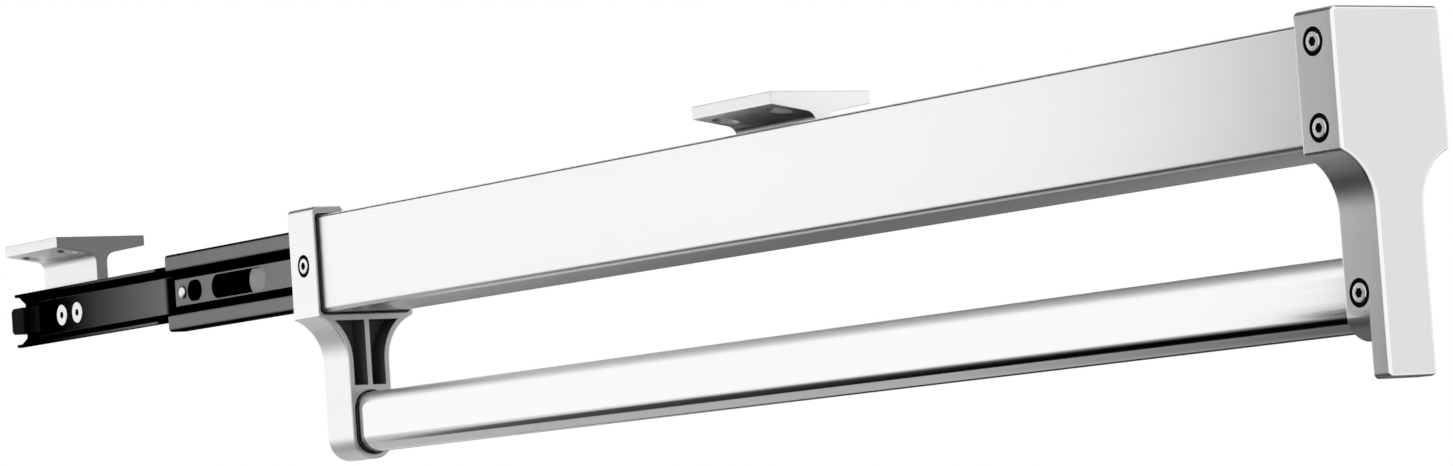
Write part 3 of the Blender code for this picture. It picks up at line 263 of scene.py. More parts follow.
class RackStage(PropertyGroup):
    floor_level: length("Floor level", "Height of the floor below the shelf", -0.45)
    floor_colour: colour("Floor colour", "Plain pale floor", (0.82, 0.82, 0.82))
    ambient: FloatProperty(
        name="Ambient", description="World light on matt surfaces", default=0.85, min=0.0
    )
    camera_place: FloatVectorProperty(
        name="Camera place", description="Where the camera stands", default=(1.78526, -0.93706, -0.14936),
        subtype="TRANSLATION", size=3, precision=5,
    )
    camera_turn: FloatVectorProperty(
        name="Camera turn", description="How the camera is turned", subtype="EULER", size=3, precision=5,
        default=[math.radians(angle) for angle in (93.87891, 3.95871, 55.53595)],
    )
    camera_lens: FloatProperty(
        name="Lens", description="Focal length in millimetres", default=131.1125, min=1.0, unit="CAMERA"
    )


# Outlines
def arc(centre_u, centre_v, radius, start, end):
    """Points along an arc, both ends included, with angles in radians."""
    steps = max(2, math.ceil(abs(end - start) / ARC_STEP))
    points = []
    for step in range(steps + 1):
        angle = start + (end - start) * step / steps
        points.append((centre_u + radius * math.cos(angle), centre_v + radius * math.sin(angle)))
    return points


def rounded(corners):
    """Closed outline through (u, v, radius) corners, each turned into an arc of its radius."""
    points = []
    for index, (u, v, radius) in enumerate(corners):
        if radius == 0:
            points.append((u, v))
            continue
        corner = Vector((u, v))
        back = (Vector(corners[index - 1][:2]) - corner).normalized()
        ahead = (Vector(corners[(index + 1) % len(corners)][:2]) - corner).normalized()
        half_angle = back.angle(ahead) / 2
        centre = corner + (back + ahead).normalized() * (radius / math.sin(half_angle))
        first = corner + back * (radius / math.tan(half_angle)) - centre
        turn = math.pi - 2 * half_angle
        if back.cross(ahead) > 0:
            turn = -turn
        start = math.atan2(first.y, first.x)
        points.extend(arc(centre.x, centre.y, radius, start, start + turn))
    return points


def mirrored(points):
    """The same points on the other side of the v axis, in reverse order."""
    return [(-u, v) for u, v in reversed(points)]


def with_other_side(corners):
    """(u, v, radius) corners, followed by the same on the other side of the v axis."""
    return corners + [(-u, v, radius) for u, v, radius in reversed(corners)]


def dome(radius, height, start=0.0):
    """Quarter oval of (radius, height) points, from a start radius at height 0 down to the rim."""
    return [(start + (radius - start) * u, height * (v - 1)) for u, v in arc(0, 0, 1, math.pi / 2, 0)]


def upright_oval(half_width, half_height, centre_v):
    """Upright oval with half-round ends."""
    flat = half_height - half_width
    upper = arc(0, centre_v + flat, half_width, 0, math.pi)
    lower = arc(0, centre_v - flat, half_width, math.pi, 2 * math.pi)
    return upper + lower


def lying_slot(start_u, slot_length, height, centre_v):
    """Level slot with half-round ends."""
    radius = height / 2
    right = arc(start_u + slot_length - radius, centre_v, radius, -math.pi / 2, math.pi / 2)
    left = arc(start_u + radius, centre_v, radius, math.pi / 2, 1.5 * math.pi)
    return right + left


def slide_section(upper):
    """Whole slide section from its upper half of (depth, height, radius) corners."""
    lower = [(depth, -height, radius) for depth, height, radius in reversed(upper)]
    outline = rounded(upper + lower)
    return [(SLIDE_FRONT + depth, SLIDE_LEVEL + height) for depth, height in outline]


# Meshes
def shade(mesh):
    """Smooth shading with the sharp edges kept."""
    mesh.shade_smooth()
    mesh.set_sharp_from_angle(angle=SHARP_ANGLE)


def new_object(name, data):
    made = bpy.data.objects.new(name, data)
    bpy.context.scene.collection.objects.link(made)
    return made


def close_up(shape):
    """Merge a shape's doubles and turn its faces outwards."""
    bmesh.ops.remove_doubles(shape, verts=shape.verts, dist=MERGE_DISTANCE)
    bmesh.ops.recalc_face_normals(shape, faces=shape.faces)


def solid(name, shape, mesh):
    """Object from a finished shape, which is put into the mesh."""
    shape.to_mesh(mesh)
    shape.free()
    shade(mesh)
    return new_object(name, mesh)


def prism(name, loops, plane, start, end):
    """Flat outline with any holes, drawn out between two places on the axis across its plane."""
    curve = bpy.data.curves.new(name, "CURVE")
    curve.dimensions = "2D"
    curve.fill_mode = "BOTH"
    curve.extrude = (end - start) / 2 * DRAW_SCALE
    for loop in loops:
        spline = curve.splines.new("POLY")
        spline.points.add(len(loop) - 1)
        for point, (u, v) in zip(spline.points, loop):
            point.co = (u * DRAW_SCALE, v * DRAW_SCALE, 0, 1)
        spline.use_cyclic_u = True
    drawn = new_object(name, curve)
    bpy.context.view_layer.update()
    evaluated = drawn.evaluated_get(bpy.context.evaluated_depsgraph_get())
    mesh = bpy.data.meshes.new_from_object(evaluated)
    bpy.data.objects.remove(drawn, do_unlink=True)
    mesh.transform(plane @ Matrix.Translation((0, 0, (start + end) / 2)) @ Matrix.Scale(1 / DRAW_SCALE, 4))
    shape = bmesh.new()
    shape.from_mesh(mesh)
    close_up(shape)
    bmesh.ops.dissolve_limit(shape, angle_limit=FLAT_ANGLE, verts=shape.verts, edges=shape.edges)
    return solid(name, shape, mesh)


def along_x(name, loops, start, end):
    return prism(name, loops, ALONG_X, start, end)


def along_y(name, loops, start, end):
    return prism(name, loops, ALONG_Y, -end, -start)


def along_z(name, loops, start, end):
    return prism(name, loops, ALONG_Z, start, end)


def turned(name, profile, seat, facing):
    """Round solid of (radius, height) points, top to bottom, turned about the axis it faces along."""
    shape = bmesh.new()
    verts = [shape.verts.new((radius, 0, height)) for radius, height in profile]
    edges = [shape.edges.new(pair) for pair in zip(verts, verts[1:])]
    bmesh.ops.spin(
        shape, geom=verts + edges, axis=Z_AXIS, cent=(0, 0, 0), angle=2 * math.pi, steps=TURN_STEPS,
        use_merge=True,
    )
    close_up(shape)
    turn = Vector(facing).to_track_quat("Z", "Y").to_matrix().to_4x4()
    bmesh.ops.transform(shape, matrix=Matrix.Translation(seat) @ turn, verts=shape.verts)
    return solid(name, shape, bpy.data.meshes.new(name))


def bevel(piece, width, segments=3, finish=-1):
    """Round the sharp edges of a piece, in the material with the given index or in that beside them."""
    modifier = piece.modifiers.new("soft_edges", "BEVEL")
    modifier.material = finish
    modifier.width = width
    modifier.segments = segments
    modifier.limit_method = "ANGLE"
    modifier.angle_limit = BEVEL_ANGLE


def cut(piece, tools):
    """Take shapes out of a piece."""
    for tool in tools:
        modifier = piece.modifiers.new("cut", "BOOLEAN")
        modifier.operation = "DIFFERENCE"
        modifier.solver = "EXACT"
        modifier.material_mode = "TRANSFER"
        modifier.object = tool


def settle(piece, tools=()):
    """Turn a piece with its modifiers into a plain mesh, and drop the shapes that cut it."""
    bpy.context.view_layer.update()
    evaluated = piece.evaluated_get(bpy.context.evaluated_depsgraph_get())
    mesh = bpy.data.meshes.new_from_object(evaluated)
    piece.modifiers.clear()
    piece.data = mesh
    for tool in tools:
        bpy.data.objects.remove(tool, do_unlink=True)
    return piece


def even_out(piece, tools=()):
    """Settle a piece, then let its broad faces shade flat and its rounded edges smooth."""
    settle(piece, tools)
    shade(piece.data)
    even = piece.modifiers.new("even_shading", "WEIGHTED_NORMAL")
    even.keep_sharp = True
    even.weight = 100
    settle(piece)


def finish_cuts(piece, tools):
    """Cut a piece and even out its shading."""
    cut(piece, tools)
    even_out(piece, tools)


def dress(piece, body, nodes):
    """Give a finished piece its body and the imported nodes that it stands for."""
    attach(piece, body)
    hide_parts(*nodes)


# Node trees
def add_node(tree, kind, inputs=(), **settings):
    """Node with its settings; each input is linked to a socket or holds a plain value."""
    made = tree.nodes.new(kind)
    for name, value in settings.items():
        setattr(made, name, value)
    for key, value in dict(inputs).items():
        if isinstance(value, bpy.types.NodeSocket):
            tree.links.new(value, made.inputs[key])
        else:
            made.inputs[key].default_value = value
    return made


def new_tree(name, kind, inputs, outputs):
    """Node group with (name, kind, default) inputs and (name, kind) outputs, and its end nodes' sockets."""
    tree = bpy.data.node_groups.new(name, kind)
    for socket, value_kind, default in inputs:
        made = tree.interface.new_socket(name=socket, in_out="INPUT", socket_type=f"NodeSocket{value_kind}")
        if default is not None:
            made.default_value = default
    for socket, value_kind in outputs:
        tree.interface.new_socket(name=socket, in_out="OUTPUT", socket_type=f"NodeSocket{value_kind}")
    given = tree.nodes.new("NodeGroupInput").outputs
    result = tree.nodes.new("NodeGroupOutput").inputs
    return tree, given, result


# Shader groups
def drawn_lines_group():
    """Fine lines along X, as left by an extrusion die or a drawing ring."""
    inputs = (("Vector", "Vector", None), ("Along", "Float", 3.0), ("Across", "Float", 1500.0))
    tree, given, result = new_tree("drawn_lines", "ShaderNodeTree", inputs, (("Lines", "Float"),))
    scales = {"X": given["Along"], "Y": given["Across"], "Z": given["Across"]}
    stretch = add_node(tree, "ShaderNodeCombineXYZ", scales).outputs["Vector"]
    scaled = add_node(tree, "ShaderNodeVectorMath", {0: given["Vector"], 1: stretch}, operation="MULTIPLY")
    texture = {"Vector": scaled.outputs["Vector"], "Scale": 1.0, "Detail": 3.0, "Roughness": 0.6}
    noise = add_node(tree, "ShaderNodeTexNoise", texture)
    tree.links.new(noise.outputs["Fac"], result["Lines"])
    return tree


def surface_grain_group():
    """Fine grain of a cast, coated or moulded skin, and slow cloudy differences over it."""
    inputs = (("Vector", "Vector", None), ("Grain Scale", "Float", 2500.0), ("Cloud Scale", "Float", 18.0))
    outputs = (("Grain", "Float"), ("Cloud", "Float"))
    tree, given, result = new_tree("surface_grain", "ShaderNodeTree", inputs, outputs)
    for name, detail in (("Grain", 2.0), ("Cloud", 4.0)):
        texture = {"Vector": given["Vector"], "Scale": given[f"{name} Scale"], "Detail": detail}
        noise = add_node(tree, "ShaderNodeTexNoise", texture)
        tree.links.new(noise.outputs["Fac"], result[name])
    return tree


def edge_rub_group():
    """Bright rubbed lines at one height above and below a level, broken up by noise."""
    inputs = (
        ("Vector", "Vector", None),
        ("Level", "Float", 0.0),
        ("Height", "Float", 0.005),
        ("Width", "Float", 0.0002),
    )
    tree, given, result = new_tree("edge_rub", "ShaderNodeTree", inputs, (("Mask", "Float"),))
    away = add_node(tree, "ShaderNodeSeparateXYZ", {"Vector": given["Vector"]}).outputs["Z"]
    for socket in ("Level", "Height"):
        apart = add_node(tree, "ShaderNodeMath", {0: away, 1: given[socket]}, operation="SUBTRACT")
        size = add_node(tree, "ShaderNodeMath", {0: apart.outputs["Value"]}, operation="ABSOLUTE")
        away = size.outputs["Value"]
    fade = {"Value": away, "From Min": 0.0, "From Max": given["Width"], "To Min": 1.0, "To Max": 0.0}
    near = add_node(tree, "ShaderNodeMapRange", fade).outputs["Result"]
    noise = add_node(tree, "ShaderNodeTexNoise", {"Vector": given["Vector"], "Scale": 220.0}).outputs["Fac"]
    broken = add_node(tree, "ShaderNodeMath", {0: near, 1: noise}, operation="MULTIPLY")
    tree.links.new(broken.outputs["Value"], result["Mask"])
    return tree


def facing_group():
    """Mask of the faces that look along an axis."""
    inputs = (("Normal", "Vector", None), ("Axis", "Vector", X_AXIS))
    tree, given, result = new_tree("facing", "ShaderNodeTree", inputs, (("Mask", "Float"),))
    pair = {0: given["Normal"], 1: given["Axis"]}
    along = add_node(tree, "ShaderNodeVectorMath", pair, operation="DOT_PRODUCT").outputs["Value"]
    size = add_node(tree, "ShaderNodeMath", {0: along}, operation="ABSOLUTE").outputs["Value"]
    ramp = add_node(tree, "ShaderNodeMapRange", {"Value": size, "From Min": 0.75, "From Max": 0.98})
    tree.links.new(ramp.outputs["Result"], result["Mask"])
    return tree


# Materials
# Colour sockets of a Mix node, whose names its other sockets share
MIX_FIRST = 6
MIX_SECOND = 7
MIX_RESULT = 2


class Finish:
    """A material under construction: its Principled shader, its coordinates and small helpers."""

    def __init__(self, name, base, metallic, roughness):
        self.material = bpy.data.materials.new(name)
        self.material.use_nodes = True
        self.material.diffuse_color = (*base, 1.0)
        self.tree = self.material.node_tree
        self.shader = self.tree.nodes["Principled BSDF"]
        self.hold("Base Color", (*base, 1.0))
        self.hold("Metallic", metallic)
        self.hold("Roughness", roughness)
        coordinates = self.add("ShaderNodeTexCoord").outputs
        self.place = coordinates["Object"]
        self.facing = coordinates["Normal"]

    def hold(self, socket, value):
        """Set a plain value on the shader."""
        self.shader.inputs[socket].default_value = value

    def feed(self, socket, value):
        """Link a changing value to the shader."""
        self.tree.links.new(value, self.shader.inputs[socket])

    def add(self, kind, inputs=(), **settings):
        """New node in the material."""
        return add_node(self.tree, kind, inputs, **settings)

    def group(self, name, **values):
        """Outputs of a shared shader group on the object's coordinates."""
        inputs = {key.replace("_", " "): value for key, value in values.items()}
        return self.add("ShaderNodeGroup", {"Vector": self.place, **inputs}, node_tree=TREES[name]).outputs

    def faces(self, axis):
        """Mask of the faces that look along an axis."""
        inputs = {"Normal": self.facing, "Axis": axis}
        return self.add("ShaderNodeGroup", inputs, node_tree=TREES["facing"]).outputs["Mask"]

    def spread(self, value, low, high, start=0.3, end=0.7):
        """Map the values between start and end onto the range from low to high."""
        inputs = {"Value": value, "From Min": start, "From Max": end, "To Min": low, "To Max": high}
        return self.add("ShaderNodeMapRange", inputs).outputs["Result"]

    def part_of(self, vector, axis):
        """One axis of a vector."""
        return self.add("ShaderNodeSeparateXYZ", {"Vector": vector}).outputs[axis]

    def combine(self, operation, first, second):
        """Two values put together by a math node."""
        return self.add("ShaderNodeMath", {0: first, 1: second}, operation=operation).outputs["Value"]

    def tint(self, factor, dark, light):
        """Colour between two shades, each a plain colour or another node's output."""
        inputs = {0: factor}
        for key, tone in ((MIX_FIRST, dark), (MIX_SECOND, light)):
            inputs[key] = tone if isinstance(tone, bpy.types.NodeSocket) else (*tone, 1.0)
        return self.add("ShaderNodeMix", inputs, data_type="RGBA").outputs[MIX_RESULT]

    def cloud(self, mask, base, low, high, end=None):
        """Feed the base colour times low to high, and any end colour as painted shade on faces across the
        length.
        """
        skin = self.tint(mask, scaled_colour(base, low), scaled_colour(base, high))
        if end is not None:
            skin = self.tint(self.faces(X_AXIS), skin, end)
        self.feed("Base Color", skin)

    def bump(self, height, distance, strength):
        """Let a height value roughen the surface."""
        inputs = {"Height": height, "Distance": distance, "Strength": strength}
        self.feed("Normal", self.add("ShaderNodeBump", inputs).outputs["Normal"])


def scaled_colour(base, factor):
    return tuple(min(1.0, channel * factor) for channel in base)


def drawn_metal(name, base, rough, line_depth, end=None, worn_top=None):
    """Extruded or drawn aluminium with fine lines along its length, and any end colour as painted shade on
    the faces across its length.

    rough is its range of roughness, and worn_top what hooks have added on the faces that look up.
    """
    made = Finish(name, base, metallic=1.0, roughness=rough[0])
    lines = made.group("drawn_lines", Along=2.0, Across=1800.0)["Lines"]
    roughness = made.spread(lines, *rough)
    if worn_top:
        scuffs = made.spread(made.part_of(made.facing, "Z"), 0.0, worn_top, start=0.2, end=0.6)
        roughness = made.combine("ADD", roughness, scuffs)
    made.feed("Roughness", roughness)
    made.cloud(made.group("surface_grain", Cloud_Scale=6.0)["Cloud"], base, 0.98, 1.02, end)
    made.bump(lines, line_depth, strength=0.25)
    return made.material


def cast_metal(name, base, rough=0.38, end=None, metallic=1.0):
    """Fine-blasted casting; where an end colour is given, its faces across the length get it as painted
    shade.
    """
    made = Finish(name, base, metallic, roughness=rough)
    grain = made.group("surface_grain", Grain_Scale=3200.0, Cloud_Scale=25.0)
    made.feed("Roughness", made.spread(grain["Cloud"], rough - 0.04, rough + 0.04))
    made.cloud(grain["Cloud"], base, 0.97, 1.03, end)
    made.bump(grain["Grain"], distance=0.00004, strength=0.25)
    return made.material


def coated_steel(name, base, unlit_coat, rub_heights, sheen_run=None):
    """Black zinc on sheet steel: black in its bends, grey on its flats as a painted sheen and bright on
    rubbed edges.

    Where three x places are given, a painted sheen on the flats rises from the first to the second,
    and from the third they are black again as painted shade behind the intermediate rail.
    """
    made = Finish(name, base, metallic=1.0, roughness=0.34)
    made.hold("Specular Tint", (*BLACK, 1.0))
    grain = made.group("surface_grain", Grain_Scale=1400.0, Cloud_Scale=60.0)
    made.feed("Roughness", made.spread(grain["Cloud"], 0.28, 0.36))
    flats = base
    # Painted sheen along the fixed rail, and painted shade where the intermediate rail covers it
    if sheen_run:
        along = made.part_of(made.place, "X")
        start, full, end = sheen_run
        rise = made.spread(along, 0.0, 1.0, start, full)
        fall = made.spread(along, 1.0, 0.0, full, end)
        flats = made.tint(made.combine("MULTIPLY", rise, fall), unlit_coat, base)
    # Painted sheen: grey only on faces that look along Y, black on bends and slopes
    skin = made.tint(made.faces(Y_AXIS), unlit_coat, flats)
    for height in rub_heights:
        rub = made.group("edge_rub", Level=SLIDE_LEVEL, Height=height, Width=RUB_WIDTH)
        skin = made.tint(rub["Mask"], skin, RUBBED_STEEL)
    made.feed("Base Color", skin)
    made.bump(grain["Grain"], distance=0.00002, strength=0.25)
    return made.material


def plated_steel(name, base, rough):
    """Zinc-plated or polished steel with a range of roughness."""
    made = Finish(name, base, metallic=1.0, roughness=rough[0])
    grain = made.group("surface_grain", Grain_Scale=2600.0, Cloud_Scale=350.0)
    made.feed("Roughness", made.spread(grain["Cloud"], *rough))
    made.cloud(grain["Cloud"], base, 0.94, 1.04)
    made.bump(grain["Grain"], distance=0.00002, strength=0.2)
    return made.material


def moulded(name, base, rough):
    """Moulded plastic or rubber with a range of roughness."""
    made = Finish(name, base, metallic=0.0, roughness=rough[1])
    made.hold("Specular IOR Level", 0.02)
    grain = made.group("surface_grain", Grain_Scale=1800.0, Cloud_Scale=90.0)
    made.feed("Roughness", made.spread(grain["Cloud"], *rough))
    made.cloud(grain["Cloud"], base, 1.0, 1.5)
    made.bump(grain["Grain"], distance=0.00004, strength=0.3)
    return made.material


TREES = {}
FINISHES = {}


def mix_finishes():
    """Make every shader group and material from the chosen colours."""
    shades = bpy.context.scene.rack_finishes
    slide = bpy.context.scene.rack_slide
    for group in (drawn_lines_group(), surface_grain_group(), edge_rub_group(), facing_group()):
        TREES[group.name] = group
    hat_bends = (slide.strip_height / 2, (HAT_HIGH.z - HAT_LOW.z) / 2 - slide.lip_height)
    # The fixed rail's web gets a darker painted sheen than the intermediate rail, as shade inside its
    # flanges
    web = scaled_colour(shades.coat, 0.85)
    FINISHES.update({
        "housing": drawn_metal("satin_housing", shades.housing, (0.28, 0.31), 0.00001),
        "tube": drawn_metal("bright_tube", shades.tube, (0.10, 0.13), 0.00001, worn_top=0.35),
        # Rear bracket's end faces get painted shade; the front bracket's ends stay bright
        "rear_tee": drawn_metal("extruded_rear_tee", shades.tee, (0.3, 0.4), 0.00002, shades.tee_end_shade),
        "front_tee": drawn_metal("extruded_front_tee", shades.tee, (0.3, 0.4), 0.00002),
        # Painted highlight for the castings' rounded edges
        "edge_highlight": cast_metal("edge_highlight", shades.edge_highlight, 0.3),
        # Front casting's darker tone is partly painted shade of light falling off towards the front end
        "front_casting": cast_metal("blasted_front_casting", shades.front_casting),
        # Painted shade on the rear casting's faces across its length
        "rear_casting": cast_metal("blasted_rear_casting", shades.rear_casting, end=shades.rim),
        # Castings' recesses: unfinished metal darkened as painted shade
        "raw_cast_shade": cast_metal("raw_casting_shade", shades.raw_cast_shade, 0.6, metallic=0.2),
        "seat_shadow": moulded("seat_shadow", shades.seat_shadow, (0.6, 0.7)),
        "hat": coated_steel("black_hat_rail", shades.coat, shades.unlit_coat, hat_bends),
        # Fixed rail: painted sheen rising towards the front, then painted shade behind the intermediate
        # rail
        "fixed": coated_steel("black_fixed_rail", web, shades.unlit_coat, (FLANGE_RUB,), SHEEN_AND_SHADOW_RUN),
        "cage": plated_steel("dull_cage", shades.cage, (0.4, 0.52)),
        "zinc": plated_steel("zinc_plate", shades.zinc, (0.2, 0.34)),
        "ball": plated_steel("ball_steel", shades.zinc, (0.08, 0.16)),
        "plastic": moulded("moulded_bumper", shades.plastic, (0.42, 0.55)),
        "rubber": moulded("button_rubber", shades.rubber, (0.6, 0.75)),
    })


def finish_of(key):
    """A material by its key; the first call makes them all."""
    if not FINISHES:
        mix_finishes()
    return FINISHES[key]


def coat(piece, key):
    """Give a shape its material; a cutter leaves its own on the faces that it makes."""
    piece.data.materials.append(finish_of(key))


# Geometry node trees
def set_input(modifier, name, value):
    """Set a tree input on a modifier by the socket's identifier."""
    for item in modifier.node_group.interface.items_tree:
        if item.item_type == "SOCKET" and item.in_out == "INPUT" and item.name == name:
            modifier[item.identifier] = value
            return
    raise KeyError(name)


def add_row(tree, rows, count, start, step):
    """Add a row of places to the joined rows."""
    inputs = {"Count": count, "Start Location": start, "Offset": step}
    row = add_node(tree, "GeometryNodeMeshLine", inputs)
    tree.links.new(row.outputs["Mesh"], rows.inputs["Geometry"])


def stand_on_rows(tree, given, result, rows, shape, faces=True):
    """Put a shape on every place of the rows, as real faces with the finish on all or on some of them."""
    inputs = {"Points": rows.outputs["Geometry"], "Instance": shape}
    spots = add_node(tree, "GeometryNodeInstanceOnPoints", inputs)
    real = add_node(tree, "GeometryNodeRealizeInstances", {"Geometry": spots.outputs["Instances"]})
    inputs = {"Geometry": real.outputs["Geometry"], "Material": given["Finish"], "Selection": faces}
    paint = add_node(tree, "GeometryNodeSetMaterial", inputs)
    tree.links.new(paint.outputs["Geometry"], result["Geometry"])


def ball_tree():
    """Two level rows of balls, above and below a line."""
    inputs = (
        ("Count", "Int", 6),
        ("Radius", "Float", 0.0015),
        ("Pitch", "Float", 0.03),
        ("Start", "Vector", None),
        ("Half Gap", "Float", 0.01),
        ("Finish", "Material", None),
    )
    tree, given, result = new_tree("ball_rows", "GeometryNodeTree", inputs, (("Geometry", "Geometry"),))
    sphere = {"Segments": 24, "Rings": 16, "Radius": given["Radius"]}
    ball = add_node(tree, "GeometryNodeMeshUVSphere", sphere).outputs["Mesh"]
    smooth = add_node(tree, "GeometryNodeSetShadeSmooth", {"Geometry": ball}).outputs["Geometry"]
    step = add_node(tree, "ShaderNodeCombineXYZ", {"X": given["Pitch"]}).outputs["Vector"]
    rows = add_node(tree, "GeometryNodeJoinGeometry")
    for side in (1.0, -1.0):
        height = add_node(tree, "ShaderNodeMath", {0: given["Half Gap"], 1: side}, operation="MULTIPLY")
        lift = add_node(tree, "ShaderNodeCombineXYZ", {"Z": height.outputs["Value"]}).outputs["Vector"]
        start = add_node(tree, "ShaderNodeVectorMath", {0: given["Start"], 1: lift}).outputs["Vector"]
        add_row(tree, rows, given["Count"], start, step)
    stand_on_rows(tree, given, result, rows, smooth)
    return tree


def screw_tree():
    """One master screw in two rows of places; its socket keeps its own finish, a painted shadow."""
    inputs = [("Master", "Object", None), ("Finish", "Material", None), ("Socket Finish", "Material", None)]
    for row, count in (("First", 1), ("Second", 0)):
        inputs.append((f"{row} Count", "Int", count))
        inputs.append((f"{row} Start", "Vector", None))
        inputs.append((f"{row} Step", "Vector", None))
    tree, given, result = new_tree("screw_rows", "GeometryNodeTree", inputs, (("Geometry", "Geometry"),))
    master = add_node(tree, "GeometryNodeObjectInfo", {"Object": given["Master"]}).outputs["Geometry"]
    rows = add_node(tree, "GeometryNodeJoinGeometry")
    for row in ("First", "Second"):
        add_row(tree, rows, given[f"{row} Count"], given[f"{row} Start"], given[f"{row} Step"])
    socket = add_node(tree, "GeometryNodeMaterialSelection", {"Material": given["Socket Finish"]})
    others = add_node(tree, "FunctionNodeBooleanMath", {0: socket.outputs["Selection"]}, operation="NOT")
    stand_on_rows(tree, given, result, rows, master, others.outputs["Boolean"])
    return tree


def grow(name, tree, values):
    """Object made by a geometry tree with the given inputs, turned into a plain mesh."""
    piece = new_object(name, bpy.data.meshes.new(name))
    modifier = piece.modifiers.new("tree", "NODES")
    modifier.node_group = tree
    for socket, value in values.items():
        set_input(modifier, socket, value)
    return settle(piece)


# Packed screws
RAIL_SCREWS = ["rear_rail_screw_1", "rear_rail_screw_2", "front_rail_screw_1", "front_rail_screw_2"]
RING_SCREWS = ["front_ring_screw_upper", "front_ring_screw_lower", "rear_ring_screw"]


def place_of(node):
    """Middle of a packed fastener's front."""
    low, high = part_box(node)
    return Vector(((low.x + high.x) / 2, low.y, (low.z + high.z) / 2))


# Ceiling brackets
def tee_bracket(name, low, high, finish):
    """T bracket with countersunk shelf holes; its stem's screw holes lie behind the rail and are not cut.
    """
    sizes = bpy.context.scene.rack_bracket
    half_plate = high.y
    half_stem = sizes.stem / 2
    left = [
        (-half_plate, high.z, 0),
        (-half_plate, high.z - sizes.plate_edge, 0),
        (-half_stem, high.z - sizes.plate_root, sizes.stem_fillet),
        (-half_stem, low.z, 0),
    ]
    tee = along_x(name, [rounded(with_other_side(left))], low.x, high.x)
    bevel(tee, BRACKET_EDGE, segments=2)
    taper = (sizes.plate_root - sizes.plate_edge) / (half_plate - half_stem)
    radius = sizes.hole / 2
    sink = sizes.sink / 2
    middle = (low.x + high.x) / 2
    tools = []
    for side_x in (-1, 1):
        for side_y in (-1, 1):
            y = side_y * sizes.pitch_y / 2
            under = high.z - sizes.plate_edge - taper * (half_plate - abs(y))
            profile = [
                (0, high.z + OVERCUT),
                (radius, high.z + OVERCUT),
                (radius, under + sink - radius),
                (sink + OVERCUT, under - OVERCUT),
                (0, under - OVERCUT),
            ]
            seat = (middle + side_x * sizes.pitch_x / 2, y, 0)
            tools.append(turned("shelf_hole", profile, seat, Z_AXIS))
    coat(tee, finish)
    finish_cuts(tee, tools)
    return tee


class RACK_OT_ceiling_brackets(Operator):
    """Make the two extruded T brackets that are screwed to the shelf"""
    bl_idname = "rack.ceiling_brackets"
    bl_label = "Ceiling brackets"

    def execute(self, context):
        boxes = (("rear", REAR_TEE_LOW, REAR_TEE_HIGH), ("front", FRONT_TEE_LOW, FRONT_TEE_HIGH))
        for end, low, high in boxes:
            tee = tee_bracket(f"{end}_tee_bracket", low, high, f"{end}_tee")
            dress(tee, "ceiling_mount", [f"{end}_ceiling_bracket"])
        return {"FINISHED"}


# Slide
def fixed_section():
    """Rolled channel with 45 degree shoulders, open to -Y."""
    sizes = bpy.context.scene.rack_slide
    face = (FIXED_HIGH.z - FIXED_LOW.z) / 2
    back = FIXED_HIGH.y - SLIDE_FRONT
    bend = sizes.sheet * SHOULDER_SHIFT
    edge = face - (back - sizes.flange_end)
    upper = [
        (back - sizes.sheet, edge - bend, sizes.inner_bend),
        (sizes.flange_end - bend, face - sizes.sheet, sizes.inner_bend),
        (sizes.flange_start, face - sizes.sheet, FLANGE_EDGE),
        (sizes.flange_start, face, FLANGE_EDGE),
        (sizes.flange_end, face, sizes.outer_bend),
        (back, edge, sizes.outer_bend),
    ]
    return slide_section(upper)


def strip_depth():
    """Depth of the intermediate rail's strip behind its lips, down 45 degree valley walls."""
    sizes = bpy.context.scene.rack_slide
    return (HAT_HIGH.z - HAT_LOW.z) / 2 - sizes.lip_height - sizes.strip_height / 2


def hat_section():
    """Rolled hat: strip, valley walls, lips, flanges and turned-in edges."""
    sizes = bpy.context.scene.rack_slide
    half = (HAT_HIGH.z - HAT_LOW.z) / 2
    depth = HAT_HIGH.y - HAT_LOW.y
    sheet = sizes.sheet
    bend = sheet * SHOULDER_SHIFT
    lip = half - sizes.lip_height
    strip = sizes.strip_height / 2
    front = strip_depth()
    upper = [
        (front, strip, sizes.inner_bend),
        (0, lip, sizes.outer_bend),
        (0, half, sizes.outer_bend),
        (depth, half, sizes.outer_bend),
        (depth, half - sizes.curl_height, CURL_EDGE),
        (depth - sheet, half - sizes.curl_height, CURL_EDGE),
        (depth - sheet, half - sheet, sizes.inner_bend),
        (sheet, half - sheet, sizes.inner_bend),
        (sheet, lip + bend, sizes.inner_bend),
        (front + sheet, strip + bend, sizes.outer_bend),
    ]
    return slide_section(upper)


class RACK_OT_fixed_rail(Operator):
    """Make the fixed rail with its screw holes"""
    bl_idname = "rack.fixed_rail"
    bl_label = "Fixed rail"

    def execute(self, context):
        rail = along_x("fixed_channel", [fixed_section()], FIXED_LOW.x, FIXED_HIGH.x)
        coat(rail, "fixed")
        tools = []
        web = FIXED_HIGH.y - context.scene.rack_slide.sheet
        bottom = -SUNK_RIM - SUNK_SEAT
        for node in RAIL_SCREWS:
            low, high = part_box(node)
            radius = (high.x - low.x) / 2 + FIT
            profile = [
                (0, OVERCUT),
                (radius, OVERCUT),
                (radius, -SUNK_RIM),
                (radius - SUNK_SEAT, bottom),
                (0, bottom),
            ]
            tools.append(turned("screw_hole", profile, (place_of(node).x, web, SLIDE_LEVEL), SCREW_SIDE))
        finish_cuts(rail, tools)
        dress(rail, "ceiling_mount", ["fixed_slide_rail"])
        return {"FINISHED"}


